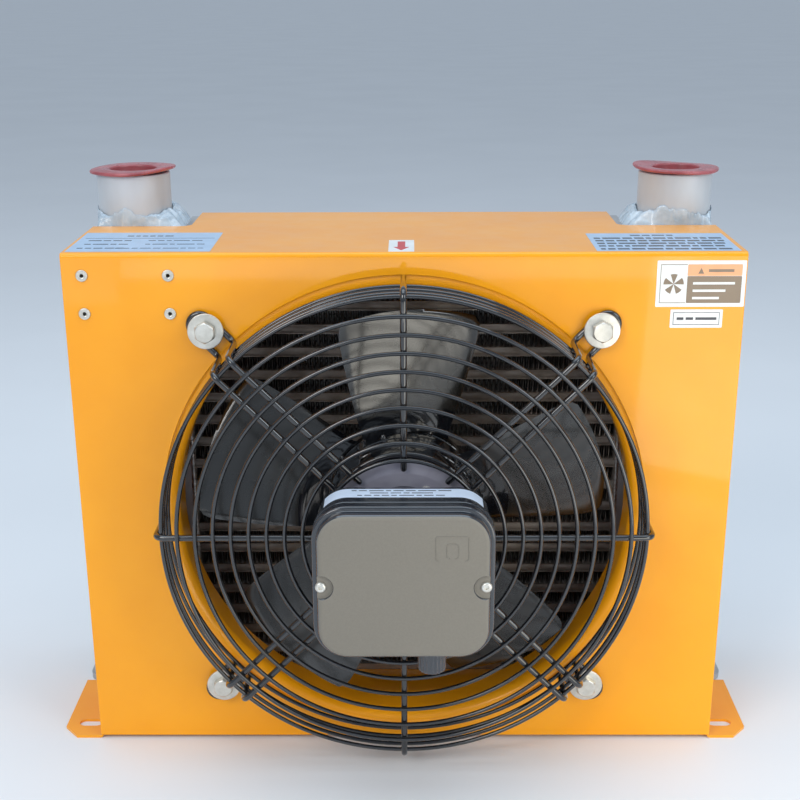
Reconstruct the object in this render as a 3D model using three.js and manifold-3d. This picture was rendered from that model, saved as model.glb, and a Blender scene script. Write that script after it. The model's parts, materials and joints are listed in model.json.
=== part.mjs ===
// Air-blast hydraulic oil cooler: a bar-and-plate aluminium core behind a folded sheet-steel
// shroud, with a guarded external-rotor axial fan at the front and two oil ports on top.
// Millimetres. +Z is up, +Y points to the rear, +X to the right as seen from the fan side.
// Every piece is placed in the cabinet's frame: y = 0 is the front face of the shroud,
// z = 0 the floor and x = 0 the middle. The last lines move it all to the part's origin,
// which is the middle of the bounding box's base.
import * as THREE from "three";
import { mergeVertices } from "three/addons/utils/BufferGeometryUtils.js";
import Module from "manifold-3d";

const wasm = await Module();
wasm.setup();

// ---------------------------------------------------------------- driving dimensions

const GAP = 0.3; // clearance between pieces that touch

// shroud
const WIDTH = 460;
const HEIGHT = 368;
const SHEET = 2;
const FOLD_RADIUS = 3;
const SHROUD_DEPTH = 104; // side panels' rear edge
const COVER_DEPTH = 172; // rear edge of the top's tongue over the core
const NOTCH_FRONT = 108.5; // front edge of the notches that clear the ports
const TONGUE_HALF_WIDTH = 158;
const NOTCH_CORNER = 8;
const PANEL_BOTTOM = 2.5;
const OPENING_RADIUS = 171;
const FAN_Z = 182;
const BOLT_HOLE_RADIUS = 4.5;
const NUT_HOLE_RADIUS = 2.9;
const BEYOND = 5; // how far a cutter reaches past what it cuts

// shroud feet
const FOOT_OUTER = 259.5;
const FOOT_REAR = 90;
const FOOT_CHAMFER = [12, 14];
const FOOT_SLOT = { x: 241.5, y: 20, length: 18, width: 10 };

// inlet ring
const THROAT_RADIUS = 161;
const RING_SHEET = 1.5;
const RING_REAR = 36;
const RING_FLANGE_RADIUS = 176.5;
const RING_CURVE_RADIUS = 10;

// core
const CORE_FRONT = 104.3;
const CORE_REAR = 168;
const CORE_HALF_WIDTH = 165;
const MATRIX_BOTTOM = 9.6;
const FIN_ROWS = 20;
const FIN_HEIGHT = 10.8;
const BAR_HEIGHT = 7;
const MATRIX_TOP = MATRIX_BOTTOM + FIN_ROWS * (FIN_HEIGHT + BAR_HEIGHT) - BAR_HEIGHT;
const FIN_RECESS = 25;
const TANK_OUTER = 229.5;
const TANK_BOTTOM = 5.6;
const TANK_TOP = 360;
const TANK_WALL = 4;

// core feet
const CORE_FOOT = { inner: 170, outer: 258, front: 91, rear: 170, thickness: 5, corner: 12 };
const CORE_FOOT_SLOT = { x: 243, y: 148, length: 18, width: 10 };

// oil ports
const PORT_X = 202.8;
const PORT_Y = 136.4;
const BOSS_RADIUS = 27.2;
const BORE_RADIUS = 20.5;
const BOSS_TOP = 404;
const BOSS_CHAMFER = 1;
const PLUG_FLANGE_RADIUS = 31.8;
const PLUG_TOP = 408;
const PLUG_EDGE = 1;
const PLUG_SKIRT_BOTTOM = 386;
const PLUG_SKIRT_TAPER = 1.2;
const PLUG_WALL = 1.5;
const FILM_TOP = 381;
const FILM_RADIUS = 38;

// fan and motor
const BLADES = 5;
const TIP_RADIUS = 145;
const ROTOR_RADIUS = 55;
const ROTOR_FRONT = -28;
const ROTOR_REAR = 42;
const BLADE_Y = 14;
const BLADE_SHEET = 1.5;
const BLADE_TURN = -0.035; // radians from the upright, for the rotor as it stands at rest
const BLADE_CAMBER = 3;
const BLADE_ROOT = { halfAngle: 0.58, halfAxial: 16 };
const BLADE_TIP = { halfAngle: 0.355, halfAxial: 18 };
const CUP_WALL = 5;
const CUP_FLOOR = 8;
const CUP_CHAMFER = 6;
const SHAFT_RADIUS = 6;
const SHAFT_SIDES = 20; // the bearings share it, so the shaft's flats line up with theirs
const SHAFT_FRONT = -39;
const BEARING_RADIUS = 13;
const BEARING_LENGTH = 10;
const FRONT_BEARING_Y = -38;
const REAR_BEARING_Y = 14;
const STATOR_RADIUS = 46;
const WINDING_RADIUS = 36;
const STATOR_FRONT = -24;
const STATOR_REAR = 25;
const LAMINATIONS_HALF = 16;
const SHIELD_RADIUS = 52;
const SHIELD_FRONT = -41;
const SHIELD_REAR = -30;
const SHIELD_SPIGOT_RADIUS = 30;
const MOUNT_PLATE_FRONT = -43.7;
const MOUNT_PLATE_REAR = -41.3;
const MOUNT_PLATE_RADIUS = 54.5;
const MOUNT_PLATE_HOLE = 16;
const MOTOR_SCREW_CIRCLE = 36;
const MOTOR_SCREW_TURN = 0.35; // radians
const MOTOR_SCREW_HEAD = { radius: 4, height: 2.2 };
const MOTOR_SCREW_RADIUS = 2.5;

// guard
const FACE_RINGS = 9;
const FACE_RING_OUTER = 154.3;
const FACE_RING_PITCH = 12.2;
const RING_WIRE = 3;
const SPOKE_WIRE = 4.5;
const SPOKE_INNER = 50;
const SPOKE_BEND_RADIUS = 169.7;
const SPOKE_CORNER = 7;
const HAIRPIN_CORNER = 6;
const SPOKE_Y = -47;
const PANEL_WIRE_Y = -2.55; // wire lying on the shroud's face
const SIDE_RING_RADIUS = 166;
const SIDE_RING_Y = [-13, -25, -36, -44];
const HAIRPIN_HALF = 7.5;
const HAIRPIN_CLEAR = 0.2; // between a hairpin's face run and the face rings
const WELD_DEPTH = 0.5; // how far two wires sink into each other where they are welded
const BOLT_CIRCLE_RADIUS = 189.5;

// guard fasteners
const WASHER_RADIUS = 12.3;
const WASHER_FRONT = -6.7;
const HEX_ACROSS_FLATS = 13;
const BOLT_HEAD_FRONT = -12.4;
const BOLT_RADIUS = 4;
const BOLT_END = 14;
const WASHER_SHEET = 1.6;
const WELD_NUT = { radius: 7.5, height: 6.5 };
const RIVET_NUT = { thread: 1.7, body: 2.6, rim: 4, rimHeight: 1, rear: 9 };

// terminal box
const BOX_Z = 173.5; // the box hangs a little below the fan's axis
const BOX_WIDTH = 118;
const BOX_HEIGHT = 106;
const BOX_CORNER = 23;
const BOX_FRONT = -112;
const BOX_SPLIT = -98;
const BOX_REAR = -60;
const BOX_WALL = 3;
const BOX_BOTTOM = BOX_Z - BOX_HEIGHT / 2;
const NECK_RADIUS = 40;
const NECK_REAR = -52.4;
const WIRE_HOLE_RADIUS = 9;
const GASKET = 1.5;
const GASKET_INSET = 0.6;
const LID_STEP = 3;
const LID_FACE_DEPTH = 5;
const LID_SCREW_X = 53.3;
const LID_SCREW_RADIUS = 3.6;
const LID_SCREW_PROUD = 0.5;
const LID_RECESS = { radius: 8, depth: 2 };
const GLAND_X = 19;
const GLAND_Y = -79;
const GLAND_BORE = 4;
const GLAND_THREAD = 6;
const GLAND_HOLE = 6.3;
const GLAND_REACH = 22;
const GLAND_SCREWED_IN = 6;
const BLOCK = { x0: -30, x1: 12, front: -76, low: BOX_Z - 38, high: BOX_Z - 22 };
const CAPACITOR = { radius: 13, length: 56, y: -79, z: BOX_Z + 26 };

// rivet nuts for a controller on the front panel's upper left
const RIVET_NUTS = [-216, -158].flatMap((x) => [353, 327].map((z) => [x, z]));

// ---------------------------------------------------------------- materials

const finish = (color, roughness, metalness) => () =>
  new THREE.MeshStandardMaterial({ color, roughness, metalness });

const orangePaint = finish("#fba832", 0.35, 0.1);
const blackCoat = finish("#15161a", 0.3, 0.1);
const greyCoat = finish("#6a6a76", 0.5, 0.2);
const aluminium = finish("#a9a49b", 0.5, 0.8);
const coreAluminium = finish("#73695f", 0.6, 0.7);
const portAluminium = finish("#d3cfc6", 0.55, 0.4);
const zincPlate = finish("#d6d6d2", 0.35, 0.8);
const steel = finish("#8d8f93", 0.4, 0.9);
const blackPlastic = finish("#4a4640", 0.65, 0.0);
const redPlastic = finish("#96464f", 0.4, 0.0);
const clearFilm = finish("#c8d4de", 0.3, 0.0);
const rubber = finish("#1c1c1c", 0.9, 0.0);
const copper = finish("#9c5a34", 0.4, 0.8);
const greyPlastic = finish("#cfcfc8", 0.5, 0.0);

// ---------------------------------------------------------------- solids

// Turns the faces round if they point inwards.
function facingOut(geometry) {
  const flat = geometry.index ? geometry.toNonIndexed() : geometry;
  const p = flat.getAttribute("position").array;
  let volume = 0;
  for (let i = 0; i < p.length; i += 9) {
    const [ax, ay, az, bx, by, bz, cx, cy, cz] = p.slice(i, i + 9);
    volume += ax * (by * cz - bz * cy) - ay * (bx * cz - bz * cx) + az * (bx * cy - by * cx);
  }
  if (volume < 0) {
    for (let i = 0; i < p.length; i += 9) {
      for (let k = 0; k < 3; k++) {
        [p[i + 3 + k], p[i + 6 + k]] = [p[i + 6 + k], p[i + 3 + k]];
      }
    }
  }
  flat.deleteAttribute("normal");
  flat.deleteAttribute("uv");
  return flat;
}

function toSolid(geometry) {
  const merged = mergeVertices(facingOut(geometry), 1e-4);
  return new wasm.Manifold(
    new wasm.Mesh({
      numProp: 3,
      vertProperties: merged.getAttribute("position").array,
      triVerts: new Uint32Array(merged.index.array),
    }),
  );
}

function toGeometry(solid) {
  const mesh = solid.getMesh();
  const geometry = new THREE.BufferGeometry();
  geometry.setAttribute("position", new THREE.BufferAttribute(mesh.vertProperties, 3));
  geometry.setIndex(new THREE.BufferAttribute(mesh.triVerts, 1));
  return geometry;
}

const cut = (body, ...tools) =>
  toGeometry(tools.reduce((solid, tool) => solid.subtract(toSolid(tool)), toSolid(body)));

const join = (...pieces) =>
  toGeometry(pieces.map(toSolid).reduce((solid, piece) => solid.add(piece)));

const common = (a, b) => toGeometry(toSolid(a).intersect(toSolid(b)));

// ---------------------------------------------------------------- shape helpers

function box(x0, x1, y0, y1, z0, z1) {
  const geometry = new THREE.BoxGeometry(x1 - x0, y1 - y0, z1 - z0);
  return geometry.translate((x0 + x1) / 2, (y0 + y1) / 2, (z0 + z1) / 2);
}

function outline(points) {
  return new THREE.Shape(points.map(([a, b]) => new THREE.Vector2(a, b)));
}

function roundedRectangle(x0, x1, y0, y1, radius) {
  const shape = new THREE.Shape();
  shape.moveTo(x0 + radius, y0);
  shape.absarc(x1 - radius, y0 + radius, radius, -Math.PI / 2, 0);
  shape.absarc(x1 - radius, y1 - radius, radius, 0, Math.PI / 2);
  shape.absarc(x0 + radius, y1 - radius, radius, Math.PI / 2, Math.PI);
  shape.absarc(x0 + radius, y0 + radius, radius, Math.PI, Math.PI * 1.5);
  return shape;
}

function slotShape({ x, y, length, width }) {
  const [halfX, halfY] = [length / 2, width / 2];
  return roundedRectangle(x - halfX, x + halfX, y - halfY, y + halfY, halfY - 0.01);
}

const extruded = (shape, depth, curveSegments) =>
  new THREE.ExtrudeGeometry(shape, { depth, bevelEnabled: false, curveSegments });

// An outline in X and Y, thickened along Z.
function slabAlongZ(shape, z0, z1, curveSegments = 4) {
  const geometry = extruded(shape, z1 - z0, curveSegments);
  return geometry.translate(0, 0, z0);
}

// An outline in X and Z, thickened along Y.
function slabAlongY(shape, y0, y1, curveSegments = 4) {
  const geometry = extruded(shape, y1 - y0, curveSegments);
  return geometry.rotateX(Math.PI / 2).translate(0, y1, 0);
}

// An outline in Y and Z, thickened along X.
function slabAlongX(shape, x0, x1, curveSegments = 4) {
  const geometry = extruded(shape, x1 - x0, curveSegments);
  return geometry.rotateX(Math.PI / 2).rotateZ(Math.PI / 2).translate(x0, 0, 0);
}

// A cylinder on an axis along Y, through (x, z).
function rodAlongY(radius, y0, y1, x = 0, z = 0, sides = 16) {
  return new THREE.CylinderGeometry(radius, radius, y1 - y0, sides).translate(x, (y0 + y1) / 2, z);
}

function rodAlongZ(radius, z0, z1, x = 0, y = 0, sides = 24) {
  const geometry = new THREE.CylinderGeometry(radius, radius, z1 - z0, sides).rotateX(Math.PI / 2);
  return geometry.translate(x, y, (z0 + z1) / 2);
}

// A profile of [radius, y] points turned about an axis along Y, through (x, z).
function turnedAlongY(profile, x, z, sides) {
  const points = profile.map(([r, y]) => new THREE.Vector2(r, y));
  return new THREE.LatheGeometry(points, sides).translate(x, 0, z);
}

const turnedAboutFan = (profile, sides = 24) => turnedAlongY(profile, 0, FAN_Z, sides);

// A profile of [radius, z] points turned about a vertical axis at (x, y).
function turnedUpright(profile, x, y, sides = 24) {
  const points = profile.map(([r, z]) => new THREE.Vector2(r, z));
  return new THREE.LatheGeometry(points, sides).rotateX(Math.PI / 2).translate(x, y, 0);
}

const closed = (profile) => [...profile, profile[0]];

// ---------------------------------------------------------------- shroud

const boltPositions = [-1, 1].flatMap((sx) =>
  [1, -1].map((sz) => [
    (sx * BOLT_CIRCLE_RADIUS) / Math.SQRT2,
    FAN_Z + (sz * BOLT_CIRCLE_RADIUS) / Math.SQRT2,
  ]),
);
const boltNames = ["upper_left", "lower_left", "upper_right", "lower_right"];

// One sheet folded over the front's top edge: the front panel and the top with its tongue.
function frontTopCover() {
  const profile = new THREE.Shape();
  profile.moveTo(0, PANEL_BOTTOM);
  profile.lineTo(0, HEIGHT - FOLD_RADIUS);
  profile.absarc(FOLD_RADIUS, HEIGHT - FOLD_RADIUS, FOLD_RADIUS, Math.PI, Math.PI / 2, true);
  profile.lineTo(COVER_DEPTH, HEIGHT);
  profile.lineTo(COVER_DEPTH, HEIGHT - SHEET);
  profile.lineTo(FOLD_RADIUS, HEIGHT - SHEET);
  profile.absarc(FOLD_RADIUS, HEIGHT - FOLD_RADIUS, FOLD_RADIUS - SHEET, Math.PI / 2, Math.PI, false);
  profile.lineTo(SHEET, PANEL_BOTTOM);
  const sheet = slabAlongX(profile, -WIDTH / 2, WIDTH / 2, 3);

  const hole = (radius, x, z, sides) => rodAlongY(radius, -BEYOND, BEYOND, x, z, sides);
  const opening = hole(OPENING_RADIUS, 0, FAN_Z, 40);
  const boltHoles = boltPositions.map(([x, z]) => hole(BOLT_HOLE_RADIUS, x, z, 8));
  const nutHoles = RIVET_NUTS.map(([x, z]) => hole(NUT_HOLE_RADIUS, x, z, 8));
  const notches = [-1, 1].map((side) => {
    const shape = outline([
      [side * TONGUE_HALF_WIDTH, COVER_DEPTH + BEYOND],
      [side * TONGUE_HALF_WIDTH, NOTCH_FRONT + NOTCH_CORNER],
      [side * (TONGUE_HALF_WIDTH + NOTCH_CORNER), NOTCH_FRONT],
      [side * (WIDTH / 2 + BEYOND), NOTCH_FRONT],
      [side * (WIDTH / 2 + BEYOND), COVER_DEPTH + BEYOND],
    ]);
    return slabAlongZ(shape, HEIGHT - 2 * BEYOND, HEIGHT + BEYOND);
  });
  return cut(sheet, opening, ...boltHoles, ...nutHoles, ...notches);
}

// A side panel whose lower edge folds outwards into a slotted foot.
function sidePanel(side) {
  const inner = side * (WIDTH / 2 - SHEET);
  const outer = side * (WIDTH / 2);
  const [x0, x1] = [inner, outer].sort((a, b) => a - b);
  const wall = box(x0, x1, SHEET + GAP, SHROUD_DEPTH, 0, HEIGHT - SHEET - GAP);
  const [chamferX, chamferY] = FOOT_CHAMFER;
  const foot = outline([
    [inner, 0],
    [side * (FOOT_OUTER - chamferX), 0],
    [side * FOOT_OUTER, chamferY],
    [side * FOOT_OUTER, FOOT_REAR],
    [inner, FOOT_REAR],
  ]);
  const slot = slabAlongZ(slotShape({ ...FOOT_SLOT, x: side * FOOT_SLOT.x }), -BEYOND, BEYOND);
  return cut(join(wall, slabAlongZ(foot, 0, SHEET)), slot);
}

function bottomPanel() {
  const half = WIDTH / 2 - SHEET - GAP;
  return box(-half, half, SHEET + GAP, SHROUD_DEPTH, PANEL_BOTTOM, PANEL_BOTTOM + SHEET);
}

// Bell-mouth behind the opening, narrowing to the fan's throat.
function inletRing() {
  const front = SHEET + GAP;
  const centre = [THROAT_RADIUS + RING_CURVE_RADIUS, front + RING_CURVE_RADIUS];
  const arc = (radius) =>
    [0, 1, 2, 3].map((i) => {
      const angle = -Math.PI / 2 - (i / 3) * (Math.PI / 2);
      return [centre[0] + radius * Math.cos(angle), centre[1] + radius * Math.sin(angle)];
    });
  const outerFace = arc(RING_CURVE_RADIUS - RING_SHEET).reverse();
  return turnedAboutFan(
    closed([
      [RING_FLANGE_RADIUS, front],
      ...arc(RING_CURVE_RADIUS),
      [THROAT_RADIUS, RING_REAR],
      [THROAT_RADIUS + RING_SHEET, RING_REAR],
      ...outerFace,
      [RING_FLANGE_RADIUS, front + RING_SHEET],
    ]),
    32,
  );
}

// ---------------------------------------------------------------- core

// The brazed stack seen from the side: passages run the full depth, fin rows stand back.
function coreMatrix() {
  const front = [];
  const rear = [];
  const finFront = CORE_FRONT + FIN_RECESS;
  const finRear = CORE_REAR - FIN_RECESS;
  for (let row = 0; row < FIN_ROWS; row++) {
    const low = MATRIX_BOTTOM + row * (FIN_HEIGHT + BAR_HEIGHT);
    const high = low + FIN_HEIGHT;
    front.push([finFront, low], [finFront, high]);
    rear.push([finRear, low], [finRear, high]);
    if (row < FIN_ROWS - 1) {
      front.push([CORE_FRONT, high], [CORE_FRONT, high + BAR_HEIGHT]);
      rear.push([CORE_REAR, high], [CORE_REAR, high + BAR_HEIGHT]);
    }
  }
  return slabAlongX(outline([...front, ...rear.reverse()]), -CORE_HALF_WIDTH, CORE_HALF_WIDTH);
}

function corePlate(z0, z1) {
  return box(-CORE_HALF_WIDTH, CORE_HALF_WIDTH, CORE_FRONT, CORE_REAR, z0, z1);
}

// A box-shaped header, open towards the core's passages and bored for its port.
function headerTank(side) {
  const inner = side * (CORE_HALF_WIDTH + GAP);
  const outer = side * TANK_OUTER;
  const [x0, x1] = [inner, outer].sort((a, b) => a - b);
  const body = box(x0, x1, CORE_FRONT, CORE_REAR, TANK_BOTTOM, TANK_TOP);
  const [open, end] = [inner - side * BEYOND, outer - side * TANK_WALL].sort((a, b) => a - b);
  const [front, rear] = [CORE_FRONT + TANK_WALL, CORE_REAR - TANK_WALL];
  const hollow = box(open, end, front, rear, TANK_BOTTOM + TANK_WALL, TANK_TOP - TANK_WALL);
  const [portLow, portHigh] = [TANK_TOP - TANK_WALL - BEYOND, TANK_TOP + BEYOND];
  const port = rodAlongZ(BORE_RADIUS - 1, portLow, portHigh, side * PORT_X, PORT_Y);
  return cut(body, hollow, port);
}

function portBoss(side) {
  const base = TANK_TOP + GAP;
  return turnedUpright(
    closed([
      [BORE_RADIUS, base],
      [BOSS_RADIUS, base],
      [BOSS_RADIUS, BOSS_TOP - BOSS_CHAMFER],
      [BOSS_RADIUS - BOSS_CHAMFER, BOSS_TOP],
      [BORE_RADIUS, BOSS_TOP],
    ]),
    side * PORT_X,
    PORT_Y,
  );
}

// A push-in transport plug: a wide flange and a hollow skirt that is open at the top.
function portPlug(side) {
  const seat = BOSS_TOP + GAP;
  const skirtTop = BORE_RADIUS - GAP;
  const skirtFoot = skirtTop - PLUG_SKIRT_TAPER;
  return turnedUpright(
    [
      [0, PLUG_SKIRT_BOTTOM],
      [skirtFoot, PLUG_SKIRT_BOTTOM],
      [skirtTop, seat],
      [PLUG_FLANGE_RADIUS, seat],
      [PLUG_FLANGE_RADIUS, PLUG_TOP - PLUG_EDGE],
      [PLUG_FLANGE_RADIUS - PLUG_EDGE, PLUG_TOP],
      [skirtTop - PLUG_WALL, PLUG_TOP],
      [skirtFoot - PLUG_WALL, PLUG_SKIRT_BOTTOM + PLUG_WALL],
      [0, PLUG_SKIRT_BOTTOM + PLUG_WALL],
    ],
    side * PORT_X,
    PORT_Y,
  );
}

// Protective film gathered round the foot of a port, kept inside the tank's edges.
function portFilm(side) {
  const base = TANK_TOP + GAP;
  const inner = BOSS_RADIUS + GAP;
  const gathered = turnedUpright(
    closed([
      [inner, base],
      [FILM_RADIUS, base],
      [FILM_RADIUS - 2, base + 5],
      [inner + 4, FILM_TOP - 6],
      [inner + 1.5, FILM_TOP],
      [inner, FILM_TOP],
    ]),
    side * PORT_X,
    PORT_Y,
  );
  const ends = [CORE_HALF_WIDTH + GAP, TANK_OUTER + 4].map((x) => side * x);
  const [x0, x1] = ends.sort((a, b) => a - b);
  const room = box(x0, x1, NOTCH_FRONT + GAP, CORE_REAR + 2, TANK_TOP, BOSS_TOP);
  return common(gathered, room);
}

// A flat foot plate under a header tank, with a rounded outer corner and a slot.
function coreFoot(side) {
  const { inner, outer, front, rear, thickness, corner } = CORE_FOOT;
  const shape = new THREE.Shape();
  shape.moveTo(inner, SHROUD_DEPTH + GAP);
  shape.lineTo(WIDTH / 2 + GAP, SHROUD_DEPTH + GAP);
  shape.lineTo(WIDTH / 2 + GAP, front);
  shape.lineTo(outer - corner, front);
  shape.absarc(outer - corner, front + corner, corner, -Math.PI / 2, 0);
  shape.absarc(outer - corner, rear - corner, corner, 0, Math.PI / 2);
  shape.lineTo(inner, rear);
  const slot = slabAlongZ(slotShape(CORE_FOOT_SLOT), -BEYOND, 2 * BEYOND);
  const plate = cut(slabAlongZ(shape, 0, thickness), slot);
  return side > 0 ? plate : plate.scale(-1, 1, 1);
}

// ---------------------------------------------------------------- fan and motor

// One pressed steel blade: a helical strip, wide at the tip, whose root follows the rotor.
function fanBlade(index) {
  const across = 5;
  const along = 4;
  const rootRadius = ROTOR_RADIUS + GAP + 0.2;
  const centre = Math.PI / 2 + BLADE_TURN + (index * 2 * Math.PI) / BLADES;
  const between = (key, share) => BLADE_ROOT[key] + (BLADE_TIP[key] - BLADE_ROOT[key]) * share;
  const point = (i, j, face) => {
    const s = (2 * i) / across - 1;
    const t = j / along;
    const radius = rootRadius + t * (TIP_RADIUS - rootRadius);
    const halfAngle = between("halfAngle", Math.sqrt(t));
    const halfAxial = between("halfAxial", t);
    const rise = Math.atan2(halfAxial, halfAngle * radius);
    const camber = BLADE_CAMBER * (1 - s * s) * t;
    const angle = centre + s * halfAngle + (face * BLADE_SHEET * Math.sin(rise)) / (2 * radius);
    const y = BLADE_Y - s * halfAxial - camber + (face * BLADE_SHEET * Math.cos(rise)) / 2;
    return [radius * Math.cos(angle), y, FAN_Z + radius * Math.sin(angle)];
  };
  const positions = [];
  const quad = (a, b, c, d) => positions.push(...a, ...b, ...c, ...a, ...c, ...d);
  for (let i = 0; i < across; i++) {
    for (let j = 0; j < along; j++) {
      quad(point(i, j, 1), point(i + 1, j, 1), point(i + 1, j + 1, 1), point(i, j + 1, 1));
      quad(point(i, j, -1), point(i, j + 1, -1), point(i + 1, j + 1, -1), point(i + 1, j, -1));
    }
    quad(point(i, 0, 1), point(i, 0, -1), point(i + 1, 0, -1), point(i + 1, 0, 1));
    quad(point(i, along, 1), point(i + 1, along, 1), point(i + 1, along, -1), point(i, along, -1));
  }
  for (let j = 0; j < along; j++) {
    quad(point(0, j, 1), point(0, j + 1, 1), point(0, j + 1, -1), point(0, j, -1));
    const [low, high] = [j, j + 1];
    quad(point(across, low, 1), point(across, low, -1), point(across, high, -1), point(across, high, 1));
  }
  const geometry = new THREE.BufferGeometry();
  geometry.setAttribute("position", new THREE.Float32BufferAttribute(positions, 3));
  return facingOut(geometry);
}

// The rotor bell: open at the front, where the stator reaches in.
function rotorCup() {
  const inner = ROTOR_RADIUS - CUP_WALL;
  return turnedAboutFan(
    closed([
      [SHAFT_RADIUS + GAP, ROTOR_REAR - CUP_FLOOR],
      [inner, ROTOR_REAR - CUP_FLOOR],
      [inner, ROTOR_FRONT],
      [ROTOR_RADIUS, ROTOR_FRONT],
      [ROTOR_RADIUS, ROTOR_REAR - CUP_CHAMFER],
      [ROTOR_RADIUS - CUP_CHAMFER, ROTOR_REAR],
      [SHAFT_RADIUS + GAP, ROTOR_REAR],
    ]),
    32,
  );
}

function rotorShaft() {
  return rodAlongY(SHAFT_RADIUS, SHAFT_FRONT, ROTOR_REAR + 1, 0, FAN_Z, SHAFT_SIDES);
}

function bearing(y0) {
  return turnedAboutFan(
    closed([
      [SHAFT_RADIUS + 0.1, y0],
      [BEARING_RADIUS, y0],
      [BEARING_RADIUS, y0 + BEARING_LENGTH],
      [SHAFT_RADIUS + 0.1, y0 + BEARING_LENGTH],
    ]),
    SHAFT_SIDES,
  );
}

// Laminations and windings round the bearing tube.
function statorPack() {
  const shoulder = (WINDING_RADIUS + STATOR_RADIUS) / 2;
  return turnedAboutFan(
    closed([
      [BEARING_RADIUS + GAP, STATOR_FRONT],
      [WINDING_RADIUS, STATOR_FRONT],
      [shoulder, -LAMINATIONS_HALF],
      [STATOR_RADIUS, -LAMINATIONS_HALF],
      [STATOR_RADIUS, LAMINATIONS_HALF],
      [shoulder, LAMINATIONS_HALF],
      [WINDING_RADIUS, STATOR_REAR],
      [BEARING_RADIUS + GAP, STATOR_REAR],
    ]),
  );
}

// The motor's fixed end shield, in front of the rotor.
function statorEndShield() {
  return turnedAboutFan(
    closed([
      [BEARING_RADIUS + GAP, SHIELD_FRONT],
      [SHIELD_RADIUS - 2, SHIELD_FRONT],
      [SHIELD_RADIUS, SHIELD_FRONT + 3],
      [SHIELD_RADIUS, SHIELD_REAR],
      [SHIELD_SPIGOT_RADIUS, SHIELD_REAR],
      [SHIELD_SPIGOT_RADIUS, STATOR_FRONT - GAP],
      [BEARING_RADIUS + GAP, STATOR_FRONT - GAP],
    ]),
  );
}

function motorScrewPositions() {
  return [0, 1, 2, 3].map((i) => {
    const angle = (i + 0.5) * (Math.PI / 2) + MOTOR_SCREW_TURN;
    return [MOTOR_SCREW_CIRCLE * Math.cos(angle), FAN_Z + MOTOR_SCREW_CIRCLE * Math.sin(angle)];
  });
}

// The round plate at the guard's middle that carries the motor.
function motorMountPlate() {
  const plate = turnedAboutFan(
    closed([
      [MOUNT_PLATE_HOLE, MOUNT_PLATE_FRONT],
      [MOUNT_PLATE_RADIUS, MOUNT_PLATE_FRONT],
      [MOUNT_PLATE_RADIUS, MOUNT_PLATE_REAR],
      [MOUNT_PLATE_HOLE, MOUNT_PLATE_REAR],
    ]),
    28,
  );
  const hole = ([x, z]) =>
    rodAlongY(NUT_HOLE_RADIUS, MOUNT_PLATE_FRONT - BEYOND, MOUNT_PLATE_REAR + BEYOND, x, z, 8);
  return cut(plate, ...motorScrewPositions().map(hole));
}

function motorScrew([x, z]) {
  const headBack = MOUNT_PLATE_FRONT - GAP;
  const { radius, height } = MOTOR_SCREW_HEAD;
  const head = rodAlongY(radius, headBack - height, headBack, x, z, 8);
  return join(head, rodAlongY(MOTOR_SCREW_RADIUS, headBack - 1, MOUNT_PLATE_REAR - 0.1, x, z, 8));
}

// ---------------------------------------------------------------- guard

// A path of straight runs with rounded corners.
function bentPath(points, radius) {
  const path = new THREE.CurvePath();
  const vectors = points.map((p) => new THREE.Vector3(...p));
  let from = vectors[0];
  for (let i = 1; i < vectors.length - 1; i++) {
    const corner = vectors[i];
    const reachIn = Math.min(radius, corner.distanceTo(vectors[i - 1]) / 2);
    const reachOut = Math.min(radius, corner.distanceTo(vectors[i + 1]) / 2);
    const start = corner.clone().lerp(vectors[i - 1], reachIn / corner.distanceTo(vectors[i - 1]));
    const end = corner.clone().lerp(vectors[i + 1], reachOut / corner.distanceTo(vectors[i + 1]));
    path.add(new THREE.LineCurve3(from, start));
    path.add(new THREE.QuadraticBezierCurve3(start, corner, end));
    from = end;
  }
  path.add(new THREE.LineCurve3(from, vectors[vectors.length - 1]));
  return path;
}

function wire(path, diameter, steps) {
  const section = new THREE.Shape();
  section.absarc(0, 0, diameter / 2, 0, Math.PI * 2);
  return new THREE.ExtrudeGeometry(section, {
    steps,
    extrudePath: path,
    curveSegments: 4,
    bevelEnabled: false,
  });
}

// Turns a point given as radius, sideways offset and y into the cabinet's frame.
function atSpoke(angle, radius, sideways, y) {
  const x = radius * Math.cos(angle) - sideways * Math.sin(angle);
  const z = radius * Math.sin(angle) + sideways * Math.cos(angle);
  return [x, y, FAN_Z + z];
}

function straightSpoke(angle) {
  const points = [
    atSpoke(angle, SPOKE_INNER, 0, SPOKE_Y),
    atSpoke(angle, SPOKE_BEND_RADIUS, 0, SPOKE_Y),
    atSpoke(angle, SPOKE_BEND_RADIUS, 0, PANEL_WIRE_Y),
  ];
  return wire(bentPath(points, SPOKE_CORNER), SPOKE_WIRE, 12);
}

// A pair of spokes made from one wire, whose loop lies on the panel round a bolt. Its face run
// stands just clear of the face rings, and its legs hold the side rings.
function hairpinSpoke(angle) {
  const half = HAIRPIN_HALF;
  const loopTurns = [0, 1, 2, 3, 4, 5, 6].map((i) => (i / 6) * Math.PI - Math.PI / 2);
  const faceY = SPOKE_Y + WELD_DEPTH + HAIRPIN_CLEAR;
  const run = (sideways) => [
    atSpoke(angle, SPOKE_INNER, sideways, faceY),
    atSpoke(angle, SPOKE_BEND_RADIUS, sideways, faceY),
    atSpoke(angle, SPOKE_BEND_RADIUS, sideways, PANEL_WIRE_Y),
  ];
  const loop = loopTurns.map((turn) =>
    atSpoke(angle, BOLT_CIRCLE_RADIUS + half * Math.cos(turn), half * Math.sin(turn), PANEL_WIRE_Y),
  );
  const points = [...run(-half), ...loop, ...run(half).reverse()];
  return wire(bentPath(points, HAIRPIN_CORNER), SPOKE_WIRE, 44);
}

function guardRing(radius, y) {
  const ring = new THREE.TorusGeometry(radius, RING_WIRE / 2, 4, 18);
  return ring.rotateX(Math.PI / 2).translate(0, y, FAN_Z);
}

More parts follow.
